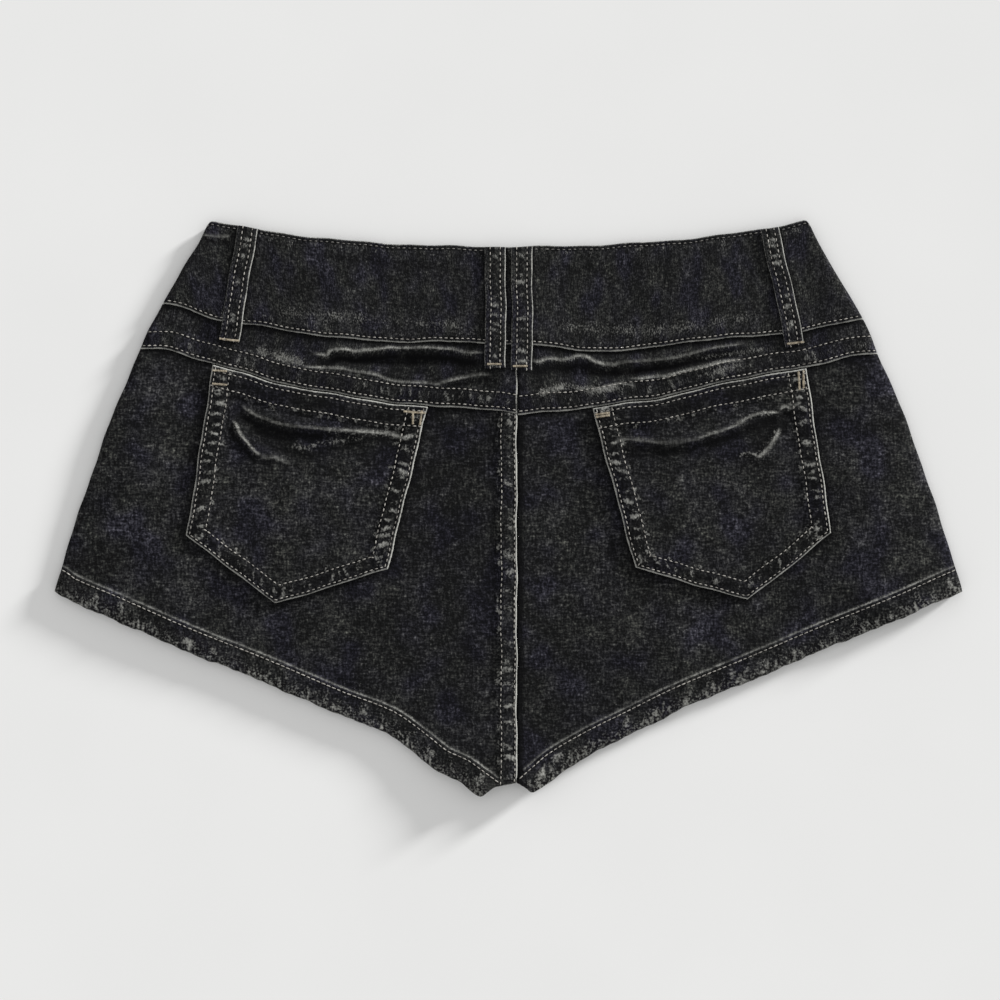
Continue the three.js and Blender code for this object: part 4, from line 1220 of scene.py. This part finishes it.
def sew(name, paths, thread, tree, lift=0.0002, **sizes):
    """One mesh of stitches along the paths, given in millimetres."""
    curve = bpy.data.curves.new(name, "CURVE")
    curve.dimensions = "3D"
    for path in paths:
        spline = curve.splines.new("POLY")
        spline.points.add(len(path) - 1)
        flat = np.column_stack([path * MM + [0, 0, lift], np.ones(len(path))])
        spline.points.foreach_set("co", flat.ravel())
    rows = bpy.data.objects.new(name, curve)
    bpy.context.scene.collection.objects.link(rows)
    sewing = rows.modifiers.new("sewing", "NODES")
    sewing.node_group = tree
    for item in tree.interface.items_tree:
        if item.in_out == "INPUT" and item.name in sizes:
            sewing[item.identifier] = sizes[item.name]
        if item.in_out == "INPUT" and item.name == "Thread":
            sewing[item.identifier] = thread
    shown = rows.evaluated_get(bpy.context.evaluated_depsgraph_get())
    mesh = bpy.data.meshes.new_from_object(shown)
    mesh.name = name
    bpy.data.objects.remove(rows)
    obj = bpy.data.objects.new(name, mesh)
    bpy.context.scene.collection.objects.link(obj)
    return obj


def linear(hex_colour):
    """An sRGB hex colour as linear RGBA."""
    channels = [int(hex_colour[n : n + 2], 16) / 255 for n in (1, 3, 5)]
    return tuple(c / 12.92 if c <= 0.04045 else ((c + 0.055) / 1.055) ** 2.4 for c in channels) + (1.0,)


def ramp(tree, factor, stops_and_colours):
    node = add_node(tree, "ShaderNodeValToRGB", {"Fac": factor})
    elements = node.color_ramp.elements
    while len(elements) < len(stops_and_colours):
        elements.new(0.5)
    for element, (position, colour) in zip(elements, stops_and_colours):
        element.position = position
        element.color = linear(colour)
    return node.outputs["Color"]


def new_material(name):
    """A material with an empty node tree."""
    material = bpy.data.materials.new(name)
    material.use_nodes = True
    material.node_tree.nodes.clear()
    return material, material.node_tree


def finish_material(tree, **sockets):
    """The surface of a material, with the sockets' names written with _ for a space."""
    named = {name.replace("_", " "): value for name, value in sockets.items()}
    shader = add_node(tree, "ShaderNodeBsdfPrincipled", named)
    add_node(tree, "ShaderNodeOutputMaterial", {"Surface": shader.outputs[0]})


def denim_material(name, yarns, worn, painted_shade_colour):
    """Stretch denim, twill woven, ring dyed and stone washed.

    The wash leaves pale flecks of weft and core yarn all over a near-black face and rubs the
    dye off every edge and crest; painted shade fills the stitch grooves, troughs, hollows and
    the cloth next to pieces lying on top. yarns are its colours from the deepest to the palest
    fleck, worn that of rubbed places, and the last argument that of the painted shade.
    """
    material, tree = new_material(name)

    def maths(operation, a, b=None, c=None):
        given = {n: value for n, value in enumerate((a, b, c)) if value is not None}
        return add_node(tree, "ShaderNodeMath", given, operation=operation).outputs[0]

    def spread(value, from_min, from_max, to_min=0.0, to_max=1.0):
        return add_node(tree, "ShaderNodeMapRange", {
            "Value": value, "From Min": from_min, "From Max": from_max,
            "To Min": to_min, "To Max": to_max}).outputs[0]

    def noise(place, scale, detail=2.0, roughness=0.6):
        return add_node(tree, "ShaderNodeTexNoise", {
            "Vector": place, "Scale": scale, "Detail": detail, "Roughness": roughness}).outputs[0]

    def stretched(size, turn=0.0):
        return add_node(tree, "ShaderNodeMapping", {
            "Vector": grain, "Scale": size, "Rotation": (0, 0, turn)}).outputs[0]

    def attribute(of):
        return add_node(tree, "ShaderNodeAttribute", attribute_name=of).outputs["Fac"]

    def mixed(blend, factor, a, b):
        return add_node(tree, "ShaderNodeMixRGB", {"Fac": factor, "Color1": a, "Color2": b},
                        blend_type=blend).outputs[0]

    grain = add_node(tree, "ShaderNodeUVMap", uv_map="grain").outputs["UV"]
    in_mm = stretched((1000, 1000, 1000))
    # Threads are 0.4 mm apart, too fine for the render, so warp and weft are drawn at about 1.5 mm
    flecks = noise(in_mm, 0.8, 1.0)
    warp_threads = noise(stretched((640, 210, 1000)), 1.0, 1.0)
    weft_threads = noise(stretched((210, 640, 1000), 0.1), 1.0, 1.0)
    mottles = noise(in_mm, 0.17, 2.0)
    patches = noise(in_mm, 0.05, 3.0)
    clumps = noise(stretched((500, 330, 1000)), 1.0, 2.0)
    tints = noise(in_mm, 0.035, 1.0)

    threads = maths("ADD", warp_threads, weft_threads)
    weave = maths("MULTIPLY_ADD", threads, 0.68, maths("MULTIPLY_ADD", flecks, 0.8, -0.58))
    tone = maths("MULTIPLY_ADD", mottles, 0.35, maths("ADD", weave, -0.48))
    tone = maths("MULTIPLY_ADD", patches, 0.5, tone)
    tone = maths("MULTIPLY_ADD", attribute("fade"), 0.13, tone)
    cloth = ramp(tree, tone, list(zip((0.28, 0.44, 0.58, 0.74, 0.95), yarns)))
    tint = ramp(tree, tints, [(0.37, "#e6e4ff"), (0.46, "#f7f7fb"), (0.6, "#f6f8ef")])
    cloth = mixed("MULTIPLY", 1.0, cloth, tint)
    rubbed = maths("MULTIPLY_ADD", attribute("wear"), 1.0, maths("MULTIPLY_ADD", clumps, 1.1, flecks))
    rubbed = maths("MULTIPLY", spread(rubbed, 1.28, 2.0, 0.0, 0.85), spread(attribute("wear"), 0.0, 0.25))
    # A crest is rubbed softly up to its line, and ends there, where the painted shade of its trough begins
    line = attribute("line")
    away = maths("MAXIMUM", maths("MULTIPLY", line, 1.35), maths("MULTIPLY", line, -0.5))
    sharp = spread(maths("MULTIPLY_ADD", flecks, 2.4, maths("SUBTRACT", away, 1.2)), 1.15, 0.1)
    sharp = maths("MULTIPLY", maths("POWER", sharp, 1.5), attribute("crest"))
    sharp = maths("MULTIPLY", sharp, spread(threads, 0.85, 1.12, 0.45, 1.1))
    ragged_rim = maths("MULTIPLY_ADD", flecks, -0.9, maths("ADD", attribute("rim"), 0.45))
    bright_rim = spread(ragged_rim, 1.25, 0.55, 0.0, 0.85)
    rubbed = maths("MAXIMUM", rubbed, maths("MAXIMUM", sharp, bright_rim))
    rubbed = spread(rubbed, 0.0, 1.0)
    # Painted shade, mixed towards the shade colour in the grooves of stitch rows and where the marks paint
    # it, not on rubbed edges
    deep = maths("MAXIMUM", spread(attribute("row"), 0.3, 1.4, 0.6, 0.0), attribute("dark"))
    deep = maths("MULTIPLY", deep, spread(bright_rim, 0.0, 0.5, 1.0, 0.0))
    colour = mixed("MIX", deep, cloth, linear(painted_shade_colour))
    colour = mixed("MIX", rubbed, colour, linear(worn))
    normal = add_node(tree, "ShaderNodeBump", {
        "Height": weave, "Strength": 0.6, "Distance": 0.0003}).outputs[0]
    finish_material(tree, Base_Color=colour, Normal=normal, Roughness=0.95, IOR=1.5,
                    Specular_IOR_Level=0.08, Sheen_Weight=0.02, Sheen_Roughness=0.5)
    return material


def thread_material(name, pale, deep):
    """Core-spun sewing thread: cotton wrapped on polyester, matt, and greyed by the wash."""
    material, tree = new_material(name)
    place = add_node(tree, "ShaderNodeTexCoord").outputs["Object"]
    # Each stitch is 3.3 mm, so the tone changes from one to the next
    tone = add_node(tree, "ShaderNodeTexNoise",
                    {"Vector": place, "Scale": 420.0, "Detail": 2.0, "Roughness": 0.6}).outputs[0]
    colour = ramp(tree, tone, [(0.35, deep), (0.65, pale)])
    plies = add_node(tree, "ShaderNodeTexNoise", {"Vector": place, "Scale": 3200.0}).outputs[0]
    normal = add_node(tree, "ShaderNodeBump",
                      {"Height": plies, "Strength": 0.4, "Distance": 0.0002}).outputs[0]
    finish_material(tree, Base_Color=colour, Normal=normal, Roughness=0.8, IOR=1.5, Specular_IOR_Level=0.3)
    return material


def button_material():
    """Zinc die casting with an antique brass plate, tarnished unevenly at random."""
    material, tree = new_material("antique brass plated zinc")
    place = add_node(tree, "ShaderNodeTexCoord").outputs["Object"]
    tarnish = add_node(tree, "ShaderNodeTexNoise",
                       {"Vector": place, "Scale": 260.0, "Detail": 4.0}).outputs[0]
    colour = ramp(tree, tarnish, [(0.35, "#4a3f30"), (0.65, "#8f7d5c")])
    rough = add_node(tree, "ShaderNodeMapRange",
                     {"Value": tarnish, "To Min": 0.3, "To Max": 0.55}).outputs[0]
    finish_material(tree, Base_Color=colour, Roughness=rough, Metallic=1.0)
    return material


def floor_material():
    """A smooth pale studio board."""
    material, tree = new_material("matt white board")
    place = add_node(tree, "ShaderNodeTexCoord").outputs["Object"]
    cloud = add_node(tree, "ShaderNodeTexNoise", {"Vector": place, "Scale": 9.0, "Detail": 2.0}).outputs[0]
    colour = ramp(tree, cloud, [(0.3, "#e7e7e6"), (0.7, "#e9e9e8")])
    finish_material(tree, Base_Color=colour, Roughness=1.0, Specular_IOR_Level=0.0)
    return material


def set_stage():
    """A pale floor, a soft low light from the right and a little above, and a bright room."""
    scene = bpy.context.scene
    scene.view_settings.view_transform = "Standard"
    scene.view_settings.look = "None"
    mesh = bpy.data.meshes.new("floor")
    half, below = 4.0, -0.0001
    mesh.from_pydata([(x * half, y * half, below) for x, y in ((-1, -1), (1, -1), (1, 1), (-1, 1))],
                     [], [(0, 1, 2, 3)])
    floor = bpy.data.objects.new("floor", mesh)
    floor.data.materials.append(floor_material())
    scene.collection.objects.link(floor)
    world = bpy.data.worlds.new("bright room")
    world.use_nodes = True
    world.node_tree.nodes["Background"].inputs["Color"].default_value = (1.0, 1.0, 1.0, 1.0)
    world.node_tree.nodes["Background"].inputs["Strength"].default_value = ROOM_LIGHT
    scene.world = world
    lamp = bpy.data.lights.new("low window light", "SUN")
    lamp.energy = KEY_LIGHT
    lamp.angle = math.radians(KEY_SOFTNESS)
    key = bpy.data.objects.new("low window light", lamp)
    key.rotation_euler = (0, math.radians(90 - KEY_ELEVATION), math.radians(KEY_BEARING))
    scene.collection.objects.link(key)
    camera = bpy.data.cameras.new("camera")
    camera.lens = LENS
    camera.sensor_width = SENSOR
    camera.clip_end = 20
    eye = bpy.data.objects.new("camera", camera)
    height = VIEW_WIDTH * LENS / SENSOR + VIEW_LEVEL
    eye.location = (VIEW_CENTRE[0] * MM, VIEW_CENTRE[1] * MM, height * MM)
    scene.collection.objects.link(eye)
    scene.camera = eye
    return floor


# The photograph's frame: straight down, 600 mm across at the height of the back
LENS, SENSOR = 85, 36
VIEW_WIDTH, VIEW_LEVEL = 600, 5
VIEW_CENTRE = (-5.0, 4.8)
# Light: how bright the room and the key are, and where the key stands
ROOM_LIGHT = 0.69
KEY_LIGHT = 5.6
KEY_SOFTNESS = 8
KEY_ELEVATION = 10
KEY_BEARING = 35

floor = set_stage()

# The last colour of each denim is the colour of its painted shade
denim = denim_material("washed black stretch denim twill",
                       ("#0f0f10", "#1c1c1e", "#2d2d2e", "#464645", "#737370"), "#a6a6a0", "#060607")
denim_inside = denim_material("inside of washed black denim",
                              ("#2b2b2c", "#454545", "#5c5c5b", "#7d7d7a", "#9a9a95"), "#a3a39d", "#1b1b1c")
stone_thread = thread_material("stone core-spun thread", "#a9a69f", "#6d6a65")
grey_thread = thread_material("grey core-spun thread", "#7a7874", "#4c4a48")
tan_thread = thread_material("tan core-spun thread", "#b0a692", "#7b7161")
antique_brass = button_material()

# Lines of the mesh by distance from an edge, close together at stitches and turned edges
SEAM_LINES = (1.4, EDGE_ROW, 3.2)
PAIR_LINES = (1.4, EDGE_ROW, 3.2, 4.6, 6, 7.6, 9.2, 10.2, EDGE_ROW + SECOND_ROW, 12.2, 13.4)
HEM_LINES = (1.6, 2.8, 4.2, 5.6, 7.2, 8.8, 10.4, 12, 13.2, 14.2, HEM_ROW / 0.9, 16, 17.2, 18.6)
CENTRE_LINES = (1.5, 2.4, 3.8, 5.2, 6.6, 8.2, 9.5, 10.4, 11.4, 12.6)

cloths = [back_waistband()]
meshes = [shell(cloths[0], down_marks=(SEAM_LINES, SEAM_LINES))]
for side in ("left", "right"):
    end_lines = CENTRE_LINES if side == "left" else (1.5, 3)
    for cloth, across, down in (
        (back_yoke(side), ((), end_lines), ((), PAIR_LINES)),
        (back_panel(side), ((), end_lines), ((1.5, 3), HEM_LINES)),
        (back_pocket(side), (PAIR_LINES, PAIR_LINES), ((1.4, 3, 4, 6, 8, 10, 11.4, 12.4, 13.6, 14.8),
                                                       tuple(d / 0.79 for d in PAIR_LINES))),
        (front_waistband(side), ((), SEAM_LINES), (SEAM_LINES, SEAM_LINES)),
        (front_belt_loop(side), ((2.4, 3.2), (2.4, 3.2)), ((), ())),
        (front_panel(side), ((), SEAM_LINES), ((), HEM_LINES)),
    ):
        cloths.append(cloth)
        step = OWN_STEP.get(cloth.name.rsplit("_", 1)[0], MESH_STEP)
        meshes.append(shell(cloth, step, across, down))
for name in LOOPS:
    cloths.append(belt_loop(name))
    meshes.append(shell(cloths[-1], OWN_STEP["belt_loop"], ((2.2, 3.2), (2.2, 3.2))))
cloths.append(fly_shield())
meshes.append(shell(cloths[-1], OWN_STEP["fly_shield"]))
by_name = {cloth.name: cloth for cloth in cloths}

tree = thread_tree()
rows, hem_rows, waist_rows = [], [], []
for name, cloth in by_name.items():
    if name.startswith("back_pocket"):
        rows += pocket_rows(cloth)
        continue
    for edge, distance in cloth.rows:
        at_waist = (name, edge) == ("back_waistband", "top")
        kind = hem_rows if edge == "leg" else waist_rows if at_waist else rows
        kind.append(row_path(cloth, edge, distance, 0.008, 0.992))
stitching = sew("stitching", rows, stone_thread, tree, Pitch=STITCH_PITCH * MM, Seed=4,
                Length=0.0021, Width=0.00068)
hem_stitching = sew("hem_stitching", hem_rows, stone_thread, tree, Pitch=STITCH_PITCH * MM, Seed=5,
                    Length=0.0028, Width=0.0007)
waist_stitching = sew("waist_stitching", waist_rows, grey_thread, tree, Pitch=STITCH_PITCH * MM, Seed=6,
                      Length=0.0019, Width=0.00062)
bars = [tack_path(by_name[name], start, stop) for name, start, stop in TACKS]
bar_tacks = sew("bar_tacks", bars, tan_thread, tree, Pitch=TACK_PITCH * MM, Seed=9,
                Length=0.0015, Width=0.00055, Turn=math.pi / 2)


def cut_of(cloth):
    """Width, length and area of the piece laid flat, in metres."""
    t = np.linspace(0, 1, 60)
    ring = np.concatenate([cloth.plan(t, 0 * t), cloth.plan(0 * t + 1, t),
                           cloth.plan(t[::-1], 0 * t + 1), cloth.plan(0 * t, t[::-1])])
    x, y = ring[:, 0] * MM, ring[:, 1] * MM
    area = abs(np.sum(x * np.roll(y, -1) - y * np.roll(x, -1))) / 2
    return (float(np.ptp(x)), float(np.ptp(y))), float(area)


for cloth, piece in zip(cloths, meshes):
    piece.name = cloth.name + "_cloth"
    piece.data.materials.append(denim)
    piece.data.materials.append(denim_inside)
    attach(piece, "root")
    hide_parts(cloth.name)
    flat, area = cut_of(cloth)
    share = area / (flat[0] * flat[1])
    if share < 0.3:
        flat = (flat[0], area / 0.9 / flat[0])

for sewing in (stitching, hem_stitching, waist_stitching, bar_tacks):
    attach(sewing, "root")
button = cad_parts["waist_button"]
button.data.materials.clear()
button.data.materials.append(antique_brass)
